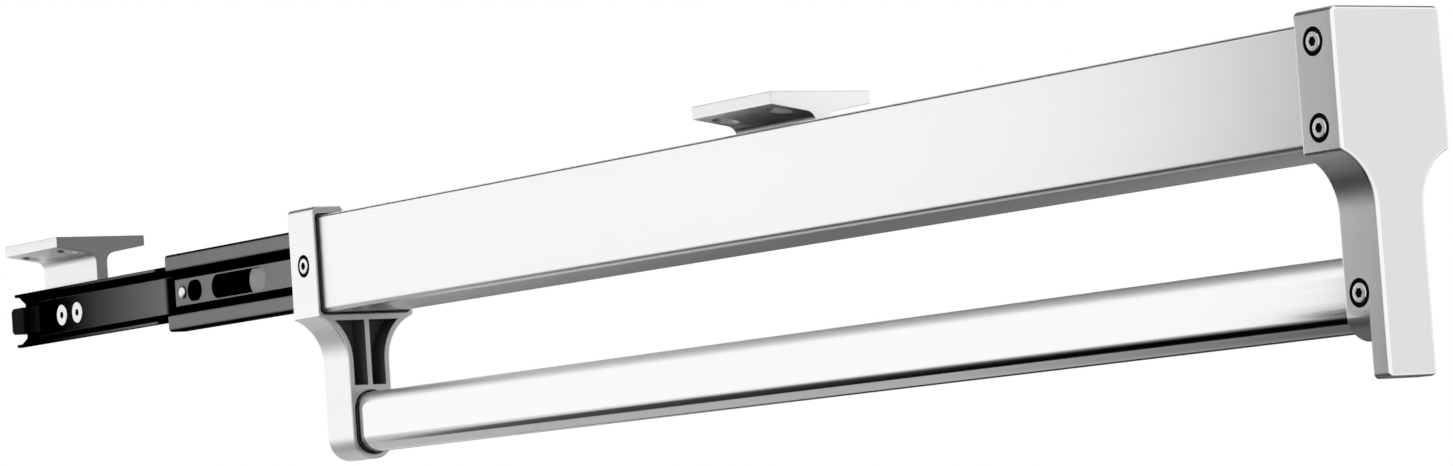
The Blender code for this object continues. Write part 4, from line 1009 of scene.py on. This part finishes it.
class RACK_OT_intermediate_rail(Operator):
    """Make the hat-shaped intermediate rail with its access holes and slots, and its rivet"""
    bl_idname = "rack.intermediate_rail"
    bl_label = "Intermediate rail"

    def execute(self, context):
        self.rail(context.scene.rack_slide)
        self.rivet()
        return {"FINISHED"}

    def rail(self, sizes):
        rail = along_x("hat_rail", [hat_section()], HAT_LOW.x, HAT_HIGH.x)
        coat(rail, "hat")
        openings = (
            (sizes.hole_offset, sizes.hole_length, sizes.hole_height),
            (sizes.slot_offset, sizes.slot_length, sizes.slot_height),
        )
        strip = SLIDE_FRONT + strip_depth()
        through = (strip - OVERCUT, strip + sizes.sheet + OVERCUT)
        tools = []
        for offset, run, height in openings:
            for start in (HAT_LOW.x + offset, HAT_HIGH.x - offset - run):
                loop = lying_slot(start, run, height, SLIDE_LEVEL)
                tools.append(along_y("strip_opening", [loop], *through))
        finish_cuts(rail, tools)
        dress(rail, "intermediate", ["intermediate_slide_rail"])

    def rivet(self):
        deep = RIVET_HIGH.y - RIVET_LOW.y
        profile = [(0, 0)] + dome((RIVET_HIGH.x - RIVET_LOW.x) / 2, RIVET_DOME)[1:]
        profile += [(RIVET_SHANK, -RIVET_DOME), (RIVET_SHANK, -deep), (0, -deep)]
        seat = ((RIVET_LOW.x + RIVET_HIGH.x) / 2, RIVET_LOW.y, SLIDE_LEVEL)
        rivet = turned("strip_rivet", profile, seat, SCREW_SIDE)
        coat(rivet, "zinc")
        dress(rivet, "intermediate", ["intermediate_stop_rivet"])


class RACK_OT_balls(Operator):
    """Make the loose balls of both cages, and finish the cages themselves"""
    bl_idname = "rack.balls"
    bl_label = "Balls and cages"

    def execute(self, context):
        numbers = range(1, context.scene.rack_slide.balls_per_row + 1)
        tree = ball_tree()
        for cage in ("inner", "outer"):
            rows = [[f"{cage}_ball_{row}_{number}" for number in numbers] for row in ("upper", "lower")]
            low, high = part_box(rows[0][0])
            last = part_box(rows[0][-1])[0]
            middle = (low + high) / 2
            values = {
                "Count": len(numbers),
                "Radius": (high.y - low.y) / 2,
                "Pitch": (last.x - low.x) / (len(numbers) - 1),
                "Start": (middle.x, middle.y, SLIDE_LEVEL),
                "Half Gap": middle.z - SLIDE_LEVEL,
                "Finish": finish_of("ball"),
            }
            balls = grow(f"{cage}_cage_balls", tree, values)
            dress(balls, f"{cage}_cage", rows[0] + rows[1])
        for node in ("inner_ball_cage", "outer_cage_upper", "outer_cage_lower"):
            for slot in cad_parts[node].material_slots:
                slot.material = finish_of("cage")
        return {"FINISHED"}


# Carriage
class RACK_OT_housing(Operator):
    """Make the extruded housing, slotted above for the bracket stems"""
    bl_idname = "rack.housing"
    bl_label = "Housing"

    def execute(self, context):
        sizes = context.scene.rack_housing
        slot = sizes.slot / 2
        half = HOUSING_HIGH.y
        inner = half - sizes.wall
        top = HOUSING_HIGH.z - sizes.wall
        left = [
            (-slot, HOUSING_HIGH.z, CHANNEL_EDGE),
            (-half, HOUSING_HIGH.z, sizes.top_corner),
            (-half, HOUSING_LOW.z, sizes.bottom_corner),
        ]
        inside = [
            (slot, top, CHANNEL_EDGE),
            (inner, top, CHANNEL_TOP_FILLET),
            (inner, HOUSING_LOW.z + sizes.wall, CHANNEL_BOTTOM_FILLET),
        ]
        outline = rounded(with_other_side(left) + with_other_side(inside))
        housing = along_x("housing_channel", [outline], HOUSING_LOW.x, HOUSING_HIGH.x)
        coat(housing, "housing")
        dress(housing, "carriage", ["housing_profile"])
        return {"FINISHED"}


def casting_places():
    """Sizes that both castings share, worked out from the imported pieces."""
    sizes = bpy.context.scene.rack_casting
    half = FRONT_HIGH.y
    leg = TUBE_RADIUS + FIT + sizes.leg_wall
    ring_bottom = HOUSING_LOW.z - FIT - sizes.bottom_wall
    inset = half - leg
    radius = (inset ** 2 + sizes.neck_drop ** 2) / (2 * inset)
    return {
        "half": half,
        "leg": leg,
        "top": FRONT_HIGH.z,
        "bottom": ring_bottom,
        "neck_radius": radius,
        "neck_centre": leg + radius,
        "neck_bottom": ring_bottom - sizes.neck_drop,
        "neck_sweep": math.atan2(sizes.neck_drop, radius - inset),
        "round": TUBE_LOW.z + TUBE_RADIUS,
    }


def casting_side(bottom):
    """Left side of a casting's outline: ring corner, side, neck arc, then the given leg bottom."""
    at = casting_places()
    corner = bpy.context.scene.rack_casting.corner
    side = -at["half"]
    ring = rounded([(0, at["top"], 0), (side, at["top"], corner), (side, at["bottom"], 0)])[1:]
    neck = arc(-at["neck_centre"], at["neck_bottom"], at["neck_radius"], at["neck_sweep"], 0)[1:]
    return ring + neck + bottom


def leg_round():
    """Left half of the leg's round bottom."""
    at = casting_places()
    return arc(0, at["round"], at["leg"], math.pi, 1.5 * math.pi)


def shaded_raw_tools(name, loops, start, end):
    """Cutters along X that leave unfinished metal behind, darkened as painted shade."""
    tools = [along_x(name, [loop], start, end) for loop in loops]
    for tool in tools:
        coat(tool, "raw_cast_shade")
    return tools


def seat_tools(start, socket_start, end, play=FIT):
    """Cutters for the housing's seat and the oval rail's socket."""
    sizes = bpy.context.scene.rack_housing
    half = HOUSING_HIGH.y + play
    top = HOUSING_HIGH.z + play
    bottom = HOUSING_LOW.z - play
    bore = rounded([
        (-half, top, sizes.top_corner),
        (-half, bottom, sizes.bottom_corner),
        (half, bottom, sizes.bottom_corner),
        (half, top, sizes.top_corner),
    ])
    socket = upright_oval(TUBE_RADIUS + play, (TUBE_HIGH.z - TUBE_LOW.z) / 2 + play, TUBE_LEVEL)
    seat = shaded_raw_tools("housing_seat", [bore], min(start, end), max(start, end))
    return seat + shaded_raw_tools("rail_socket", [socket], min(socket_start, end), max(socket_start, end))


def pocket_tools(start, end):
    """Cutters for the two cored pockets in a neck."""
    at = casting_places()
    sizes = bpy.context.scene.rack_casting
    radius = at["neck_radius"] + sizes.pocket_wall
    top = at["bottom"] - sizes.pocket_roof
    bottom = TUBE_HIGH.z + FIT + sizes.pocket_floor
    half_rib = sizes.pocket_rib / 2
    sweep = math.asin((top - at["neck_bottom"]) / radius)
    wall = arc(-at["neck_centre"], at["neck_bottom"], radius, sweep, 0)
    left = wall + [(wall[-1][0], bottom), (-half_rib, bottom), (-half_rib, top)]
    return shaded_raw_tools("neck_pocket", (left, mirrored(left)), start, end)


def counterbore(node, wall):
    """Cutter for a packed screw's counterbore in a -Y side, with a softened mouth."""
    sizes = bpy.context.scene.rack_casting
    radius = sizes.bore / 2
    head = place_of(node)
    profile = [
        (0, OVERCUT),
        (radius + BORE_LIP + OVERCUT, OVERCUT),
        (radius, -BORE_LIP),
        (radius, -sizes.bore_depth),
        (0, -sizes.bore_depth),
    ]
    tool = turned("counterbore", profile, (head.x, wall, head.z), SCREW_SIDE)
    # The counterbore's faces get a painted shadow
    coat(tool, "seat_shadow")
    return tool


def soft_casting(name, outline, low, high):
    """Casting drawn along X, with its own finish and a painted highlight on its rounded edges."""
    casting = along_x(name, [outline], low.x, high.x)
    coat(casting, name)
    coat(casting, "edge_highlight")
    bevel(casting, bpy.context.scene.rack_casting.edge, finish=1)
    return casting


class RACK_OT_castings(Operator):
    """Make the front and rear end castings"""
    bl_idname = "rack.castings"
    bl_label = "End castings"

    def execute(self, context):
        self.rear(context.scene.rack_casting, context.scene.rack_housing)
        self.front(context.scene.rack_casting)
        return {"FINISHED"}

    def rear(self, sizes, housing):
        at = casting_places()
        left = casting_side(leg_round())
        slot = housing.slot / 2
        cavity = HOUSING_HIGH.y - housing.wall
        cavity_top = HOUSING_HIGH.z - housing.wall
        cavity_bottom = HOUSING_LOW.z + housing.wall
        opening = rounded([
            (at["half"], at["top"], 0),
            (slot, at["top"], sizes.slot_edge),
            (slot, cavity_top, 0),
            (cavity, cavity_top, OPENING_TOP_FILLET),
            (cavity, cavity_bottom, CHANNEL_BOTTOM_FILLET),
            (0, cavity_bottom, 0),
        ])[1:-1]
        outline = left + mirrored(left)[1:] + opening + mirrored(opening)
        casting = soft_casting("rear_casting", outline, REAR_LOW, REAR_HIGH)
        beyond = REAR_HIGH.x + OVERCUT
        mouth = REAR_HIGH.x - sizes.mouth_depth
        tools = seat_tools(REAR_LOW.x + sizes.rear_lip, REAR_LOW.x + sizes.rear_socket_floor, beyond)
        # Dark relief at the mouth: painted shadow of the gap around the housing and rail
        tools += seat_tools(mouth, mouth, beyond, sizes.mouth)
        tools += pocket_tools(REAR_HIGH.x - sizes.pocket_depth, beyond)
        tools.append(counterbore("rear_ring_screw", REAR_LOW.y))
        finish_cuts(casting, tools)
        dress(casting, "carriage", ["rear_end_bracket"])

    def front(self, sizes):
        at = casting_places()
        handle = rounded([
            (-at["leg"], TUBE_LEVEL, 0),
            (-at["leg"], FRONT_LOW.z, sizes.handle_corner),
            (0, FRONT_LOW.z, 0),
        ])[1:-1]
        left = casting_side(handle)
        casting = soft_casting("front_casting", left + mirrored(left), FRONT_LOW, FRONT_HIGH)
        behind = FRONT_LOW.x - OVERCUT
        aside = at["leg"] + OVERCUT
        below = FRONT_LOW.z - OVERCUT
        relief = [(-aside, at["round"])] + leg_round() + mirrored(leg_round())[1:]
        relief += [(aside, at["round"]), (aside, below), (-aside, below)]
        tools = [along_x("handle_relief", [relief], behind, FRONT_HIGH.x - sizes.handle)]
        wall = FRONT_HIGH.x - sizes.front_wall
        tools += seat_tools(wall, FRONT_HIGH.x - sizes.front_socket_floor, behind)
        tools += pocket_tools(behind, FRONT_LOW.x + sizes.pocket_depth)
        tools.append(counterbore("front_ring_screw_upper", FRONT_LOW.y))
        tools.append(counterbore("front_ring_screw_lower", FRONT_LOW.y))
        tools.append(counterbore("rail_clamp_screw", -at["leg"]))
        finish_cuts(casting, tools)
        dress(casting, "carriage", ["front_end_bracket"])


class RACK_OT_oval_rail(Operator):
    """Make the oval rail that the hangers hook over"""
    bl_idname = "rack.oval_rail"
    bl_label = "Oval rail"

    def execute(self, context):
        wall = context.scene.rack_housing.tube_wall
        half = (TUBE_HIGH.z - TUBE_LOW.z) / 2
        outside = upright_oval(TUBE_RADIUS, half, TUBE_LEVEL)
        inside = upright_oval(TUBE_RADIUS - wall, half - wall, TUBE_LEVEL)
        rail = along_x("oval_rail", [outside, inside], TUBE_LOW.x, TUBE_HIGH.x)
        coat(rail, "tube")
        dress(rail, "carriage", ["hanging_rail"])
        return {"FINISHED"}


# Screws
def cap_profile(node):
    """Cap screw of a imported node's size: rounded edge, flat top, plain shank. Height 0 is its front."""
    low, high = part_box(node)
    head = (high.x - low.x) / 2
    deep = high.y - low.y
    rim = dome(head, CAP_EDGE, head - CAP_EDGE)
    return [(0, 0)] + rim + [(head, -CAP_HEAD), (CAP_SHANK, -CAP_HEAD), (CAP_SHANK, -deep), (0, -deep)]


def sunk_profile(node):
    """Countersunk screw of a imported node's size. Height 0 is its front."""
    low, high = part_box(node)
    head = (high.x - low.x) / 2
    deep = high.y - low.y
    cone_end = SUNK_SHANK - head - SUNK_RIM
    top = [(0, 0), (head - SUNK_EDGE, 0), (head, -SUNK_EDGE), (head, -SUNK_RIM)]
    return top + [(SUNK_SHANK, cone_end), (SUNK_SHANK, -deep), (0, -deep)]


def screw_master(name, profile, hex_depth):
    """Screw with a hexagon socket at the origin, its head towards -Y."""
    screw = turned(name, profile, (0, 0, 0), Z_AXIS)
    coat(screw, "zinc")
    radius = HEX_WIDTH / math.sqrt(3)
    turns = [math.radians(60 * corner) for corner in range(6)]
    hexagon = [(radius * math.cos(turn), radius * math.sin(turn)) for turn in turns]
    tool = along_z("hex_socket", [hexagon], -hex_depth, OVERCUT)
    # The hexagon socket gets a painted shadow
    coat(tool, "seat_shadow")
    cut(screw, [tool])
    settle(screw, [tool])
    screw.data.transform(Vector(SCREW_SIDE).to_track_quat("Z", "Y").to_matrix().to_4x4())
    shade(screw.data)
    return screw


def grow_screws(name, tree, master, body, nodes):
    """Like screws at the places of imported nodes: two of them in the first row, the others in a second."""
    places = [place_of(node) for node in nodes]
    values = {"Master": master, "Finish": finish_of("zinc"), "Socket Finish": finish_of("seat_shadow")}
    for row, spots in (("First", places[:2]), ("Second", places[2:])):
        if spots:
            values[f"{row} Count"] = len(spots)
            values[f"{row} Start"] = spots[0]
            values[f"{row} Step"] = spots[-1] - spots[0]
    dress(grow(name, tree, values), body, nodes)
    bpy.data.objects.remove(master, do_unlink=True)


class RACK_OT_screws(Operator):
    """Make the socket screws of the carriage and the countersunk screws of the fixed rail"""
    bl_idname = "rack.screws"
    bl_label = "Screws"

    def execute(self, context):
        tree = screw_tree()
        ring = screw_master("ring_screw", cap_profile(RING_SCREWS[0]), CAP_HEX_DEPTH)
        grow_screws("ring_screws", tree, ring, "carriage", RING_SCREWS)
        clamp = screw_master("clamp_screw", cap_profile("rail_clamp_screw"), CAP_HEX_DEPTH)
        grow_screws("rail_clamp", tree, clamp, "carriage", ["rail_clamp_screw"])
        sunk = screw_master("sunk_screw", sunk_profile(RAIL_SCREWS[0]), SUNK_HEX_DEPTH)
        grow_screws("rail_screws", tree, sunk, "ceiling_mount", RAIL_SCREWS)
        return {"FINISHED"}


# Buffers
class RACK_OT_buffers(Operator):
    """Make the moulded rear bumper and the rubber button inside the front wall"""
    bl_idname = "rack.buffers"
    bl_label = "Buffers"

    def execute(self, context):
        self.bumper(context.scene.rack_slide)
        self.button()
        return {"FINISHED"}

    def bumper(self, sizes):
        back = FIXED_HIGH.y - sizes.sheet - FIT
        front = back - sizes.tongue
        shoulder = FIXED_LOW.x + sizes.nose_end
        outline = rounded([
            (BUFFER_LOW.x, BUFFER_LOW.y, NOSE_EDGE),
            (shoulder, BUFFER_LOW.y, NOSE_SHOULDER),
            (shoulder, front, TONGUE_ROOT),
            (BUFFER_HIGH.x, front, TONGUE_EDGE),
            (BUFFER_HIGH.x, back, 0),
            (FIXED_LOW.x - FIT, back, 0),
            (FIXED_LOW.x - FIT, BUFFER_HIGH.y, 0),
            (BUFFER_LOW.x, BUFFER_HIGH.y, NOSE_EDGE),
        ])
        bumper = along_z("rear_bumper", [outline], BUFFER_LOW.z, BUFFER_HIGH.z)
        coat(bumper, "plastic")
        radius = sizes.nose_radius
        tip = BUFFER_LOW.x
        outside = tip - OVERCUT
        half = (BUFFER_HIGH.z - BUFFER_LOW.z) / 2
        above = half + OVERCUT
        corner = arc(tip + radius, half - radius, radius, math.pi, math.pi / 2)
        corner += [(tip + radius, above), (outside, above), (outside, half - radius)]
        tools = []
        for side in (-1, 1):
            loop = [(x, SLIDE_LEVEL + side * height) for x, height in corner]
            tools.append(along_y("nose_corner", [loop], BUFFER_LOW.y - OVERCUT, BUFFER_HIGH.y + OVERCUT))
        cut(bumper, tools)
        settle(bumper, tools)
        bevel(bumper, BUMPER_EDGE, segments=2)
        even_out(bumper)
        dress(bumper, "ceiling_mount", ["rear_stop_buffer"])

    def button(self):
        radius = (BUTTON_HIGH.y - BUTTON_LOW.y) / 2
        tall = BUTTON_HIGH.x - BUTTON_LOW.x
        body = tall - BUTTON_PEG_LENGTH
        profile = dome(radius, BUTTON_CROWN)
        profile += [(radius, -body), (BUTTON_PEG, -body), (BUTTON_PEG, -tall), (0, -tall)]
        seat = (BUTTON_LOW.x, (BUTTON_LOW.y + BUTTON_HIGH.y) / 2, SLIDE_LEVEL)
        button = turned("front_wall_button", profile, seat, (-1, 0, 0))
        coat(button, "rubber")
        dress(button, "carriage", ["closing_buffer"])


# Stage
def plane(name, corners):
    mesh = bpy.data.meshes.new(name)
    mesh.from_pydata(corners, [], [tuple(range(len(corners)))])
    return new_object(name, mesh)


def seen_ray(tree):
    """1 for rays that should see the plain background: camera, glossy and transmission rays."""
    path = add_node(tree, "ShaderNodeLightPath").outputs
    seen = path["Is Camera Ray"]
    for name in ("Is Glossy Ray", "Is Transmission Ray"):
        either = add_node(tree, "ShaderNodeMath", {0: seen, 1: path[name]}, operation="MAXIMUM")
        seen = either.outputs["Value"]
    return seen


def softbox(name, place, size, power):
    """Lamp that looks at the rack and that reflections don't show."""
    data = bpy.data.lights.new(name, "AREA")
    data.shape = "RECTANGLE"
    data.size, data.size_y = size
    data.energy = power
    made = new_object(name, data)
    made.location = place
    made.rotation_euler = (Vector(RACK_MIDDLE) - Vector(place)).to_track_quat("-Z", "Y").to_euler()
    made.visible_glossy = False


def card_paint():
    """Paint of the studio cards, as bright as each card's own level."""
    made = Finish("card_paint", BLACK, metallic=0.0, roughness=0.5)
    made.hold("Specular IOR Level", 0.0)
    made.hold("Emission Strength", 1.0)
    made.feed("Emission Color", made.add("ShaderNodeAttribute", attribute_name="level").outputs["Color"])
    return made.material


def card(name, corners, levels, paint):
    """Studio card that only reflections show, with a level at each corner: 0 is black and 1 is white."""
    made = plane(name, corners)
    shades = made.data.attributes.new("level", "FLOAT", "POINT")
    for corner, level in zip(shades.data, levels):
        corner.value = level
    made.data.materials.append(paint)
    made.visible_camera = False
    made.visible_diffuse = False
    made.visible_shadow = False
    made.visible_transmission = False


def level_card(name, x, y, z, levels, paint):
    """Level card between two x and two y places, with a level at each x place."""
    corners = [(x[0], y[0], z), (x[1], y[0], z), (x[1], y[1], z), (x[0], y[1], z)]
    card(name, corners, (*levels, *reversed(levels)), paint)


def upright_card(name, y, x, z, levels, paint):
    """Upright card along the rack, between two x and two z places, with a level at each x place."""
    corners = [(x[0], y, z[0]), (x[1], y, z[0]), (x[1], y, z[1]), (x[0], y, z[1])]
    card(name, corners, (*levels, *reversed(levels)), paint)


class RACK_OT_stage(Operator):
    """Make the floor, the light and the camera"""
    bl_idname = "rack.stage"
    bl_label = "Stage"

    def execute(self, context):
        stage = context.scene.rack_stage
        self.floor(stage)
        self.world(stage)
        softbox("key_softbox", place=(0.9, -1.8, 1.4), size=(1.6, 1.2), power=16.0)
        softbox("fill_softbox", place=(-1.6, -1.2, 0.6), size=(1.4, 1.4), power=8.0)
        paint = card_paint()
        self.strips_below(paint)
        self.cards(paint)
        self.camera(stage)
        context.scene.view_settings.view_transform = "Standard"
        return {"FINISHED"}

    def strips_below(self, paint):
        """Strips under the screw side that fade to white away from the rack and darken towards its front.

        Each column has an x place at the strips' middle, another at their near edge, and a level.
        """
        far_edge, middle_edge = -1.2, -0.36
        columns = (
            (-1.4, -1.4, 0.55),
            (-0.40, -0.18, 0.55),
            (-0.33, -0.12, 0.08),
            (0.2, 0.2, 0.0),
            (0.9, 0.9, 0.0),
        )
        for (low, low_near, first), (high, high_near, second) in zip(columns, columns[1:]):
            far = [(low, far_edge, CARDS_BELOW), (high, far_edge, CARDS_BELOW)]
            middle = [(high, middle_edge, CARDS_BELOW), (low, middle_edge, CARDS_BELOW)]
            near = [(high_near, CARD_SEAM, CARDS_BELOW), (low_near, CARD_SEAM, CARDS_BELOW)]
            card("fading_strip_below", far + middle, (1.0, 1.0, second, first), paint)
            card("dark_strip_below", middle[::-1] + near, (first, second, second, first), paint)

    def cards(self, paint):
        """Cards below, above, behind and beside the rack."""
        across = (CARD_SEAM, CARD_BACK)
        further = (CARD_BACK, 0.60)
        just_above = CARDS_BELOW + 0.001
        level_card("pale_card_below", (-0.8, -0.05), (CARD_SEAM, 0.30), CARDS_BELOW, (0.7, 0.45), paint)
        level_card("grey_card_below", (-0.05, 0.25), across, CARDS_BELOW, (0.45, 0.42), paint)
        level_card("falling_card_below", (0.25, 0.48), across, CARDS_BELOW, (0.42, 0.12), paint)
        level_card("dark_card_below", (0.48, 0.9), across, CARDS_BELOW, (0.12, 0.12), paint)
        level_card("far_strip_below", (-0.2, 0.9), further, just_above, (0.03, 0.03), paint)
        level_card("black_card_above", (-0.35, 0.9), further, 0.30, (0.0, 0.0), paint)
        level_card("edge_strip_above", (-0.2, 0.74), (-0.038, -0.012), 0.012, (0.0, 0.0), paint)
        upright_card("dark_card_behind", 0.7, (-2.2, -0.6), (-0.4, 0.05), (0.08, 0.08), paint)
        upright_card("rising_card_behind", 0.7, (-0.6, 0.8), (-0.4, 0.05), (0.08, 0.7), paint)
        upright_card("grey_card_beside", -0.3, (0.40, 0.64), (-0.08, 0.25), (0.2, 0.2), paint)
        upright_card("dark_card_beside", -0.3, (0.37, 0.64), (-0.30, -0.08), (0.03, 0.03), paint)

    def camera(self, stage):
        data = bpy.data.cameras.new("photo_camera")
        data.sensor_width = 36.0
        data.lens = stage.camera_lens
        data.clip_start = 0.01
        camera = new_object("photo_camera", data)
        camera.location = stage.camera_place
        camera.rotation_euler = stage.camera_turn
        bpy.context.scene.camera = camera

    def floor(self, stage):
        """Matt floor that fades out, so that no horizon shows."""
        reach, fade_start, fade_end = 4.0, 1.0, 3.6
        corners = [(-reach, -reach), (reach, -reach), (reach, reach), (-reach, reach)]
        floor = plane("floor", [(x, y, stage.floor_level) for x, y in corners])
        made = Finish("floor_paint", stage.floor_colour, metallic=0.0, roughness=0.9)
        made.hold("Specular IOR Level", 0.0)
        away = made.add("ShaderNodeVectorMath", {0: made.place}, operation="LENGTH").outputs["Value"]
        made.feed("Alpha", made.spread(away, 1.0, 0.0, fade_start, fade_end))
        floor.data.materials.append(made.material)

    def world(self, stage):
        world = bpy.data.worlds.new("studio")
        world.use_nodes = True
        tree = world.node_tree
        backdrop = tree.nodes["Background"]
        backdrop.inputs["Color"].default_value = (1.0, 1.0, 1.0, 1.0)
        inputs = {"Value": seen_ray(tree), "To Min": stage.ambient, "To Max": 1.0}
        level = add_node(tree, "ShaderNodeMapRange", inputs)
        tree.links.new(level.outputs["Result"], backdrop.inputs["Strength"])
        bpy.context.scene.world = world


class RACK_PT_pieces(Panel):
    """Lists the operators in the sidebar, with the sizes and colours that they use"""
    bl_idname = "RACK_PT_pieces"
    bl_label = "Pull-out hanging rail"
    bl_space_type = "VIEW_3D"
    bl_region_type = "UI"
    bl_category = "Rack"

    def draw(self, context):
        for operator in OPERATORS:
            self.layout.operator(operator.bl_idname)
        for name, group in SETTINGS.items():
            box = self.layout.box()
            for setting in group.__annotations__:
                box.prop(getattr(context.scene, name), setting)


OPERATORS = (
    RACK_OT_ceiling_brackets,
    RACK_OT_fixed_rail,
    RACK_OT_intermediate_rail,
    RACK_OT_balls,
    RACK_OT_housing,
    RACK_OT_castings,
    RACK_OT_oval_rail,
    RACK_OT_screws,
    RACK_OT_buffers,
    RACK_OT_stage,
)
SETTINGS = {
    "rack_slide": RackSlideSizes,
    "rack_casting": RackCastingSizes,
    "rack_housing": RackHousingSizes,
    "rack_bracket": RackBracketSizes,
    "rack_finishes": RackFinishes,
    "rack_stage": RackStage,
}


def register():
    for group in SETTINGS.values():
        bpy.utils.register_class(group)
    for name, group in SETTINGS.items():
        setattr(bpy.types.Scene, name, PointerProperty(type=group))
    for operator in OPERATORS:
        bpy.utils.register_class(operator)
    bpy.utils.register_class(RACK_PT_pieces)


def unregister():
    bpy.utils.unregister_class(RACK_PT_pieces)
    for operator in reversed(OPERATORS):
        bpy.utils.unregister_class(operator)
    for name, group in SETTINGS.items():
        delattr(bpy.types.Scene, name)
        bpy.utils.unregister_class(group)


def main():
    register()
    for operator in OPERATORS:
        getattr(bpy.ops.rack, operator.bl_idname.removeprefix("rack."))()


if __name__ == "__main__":
    main()
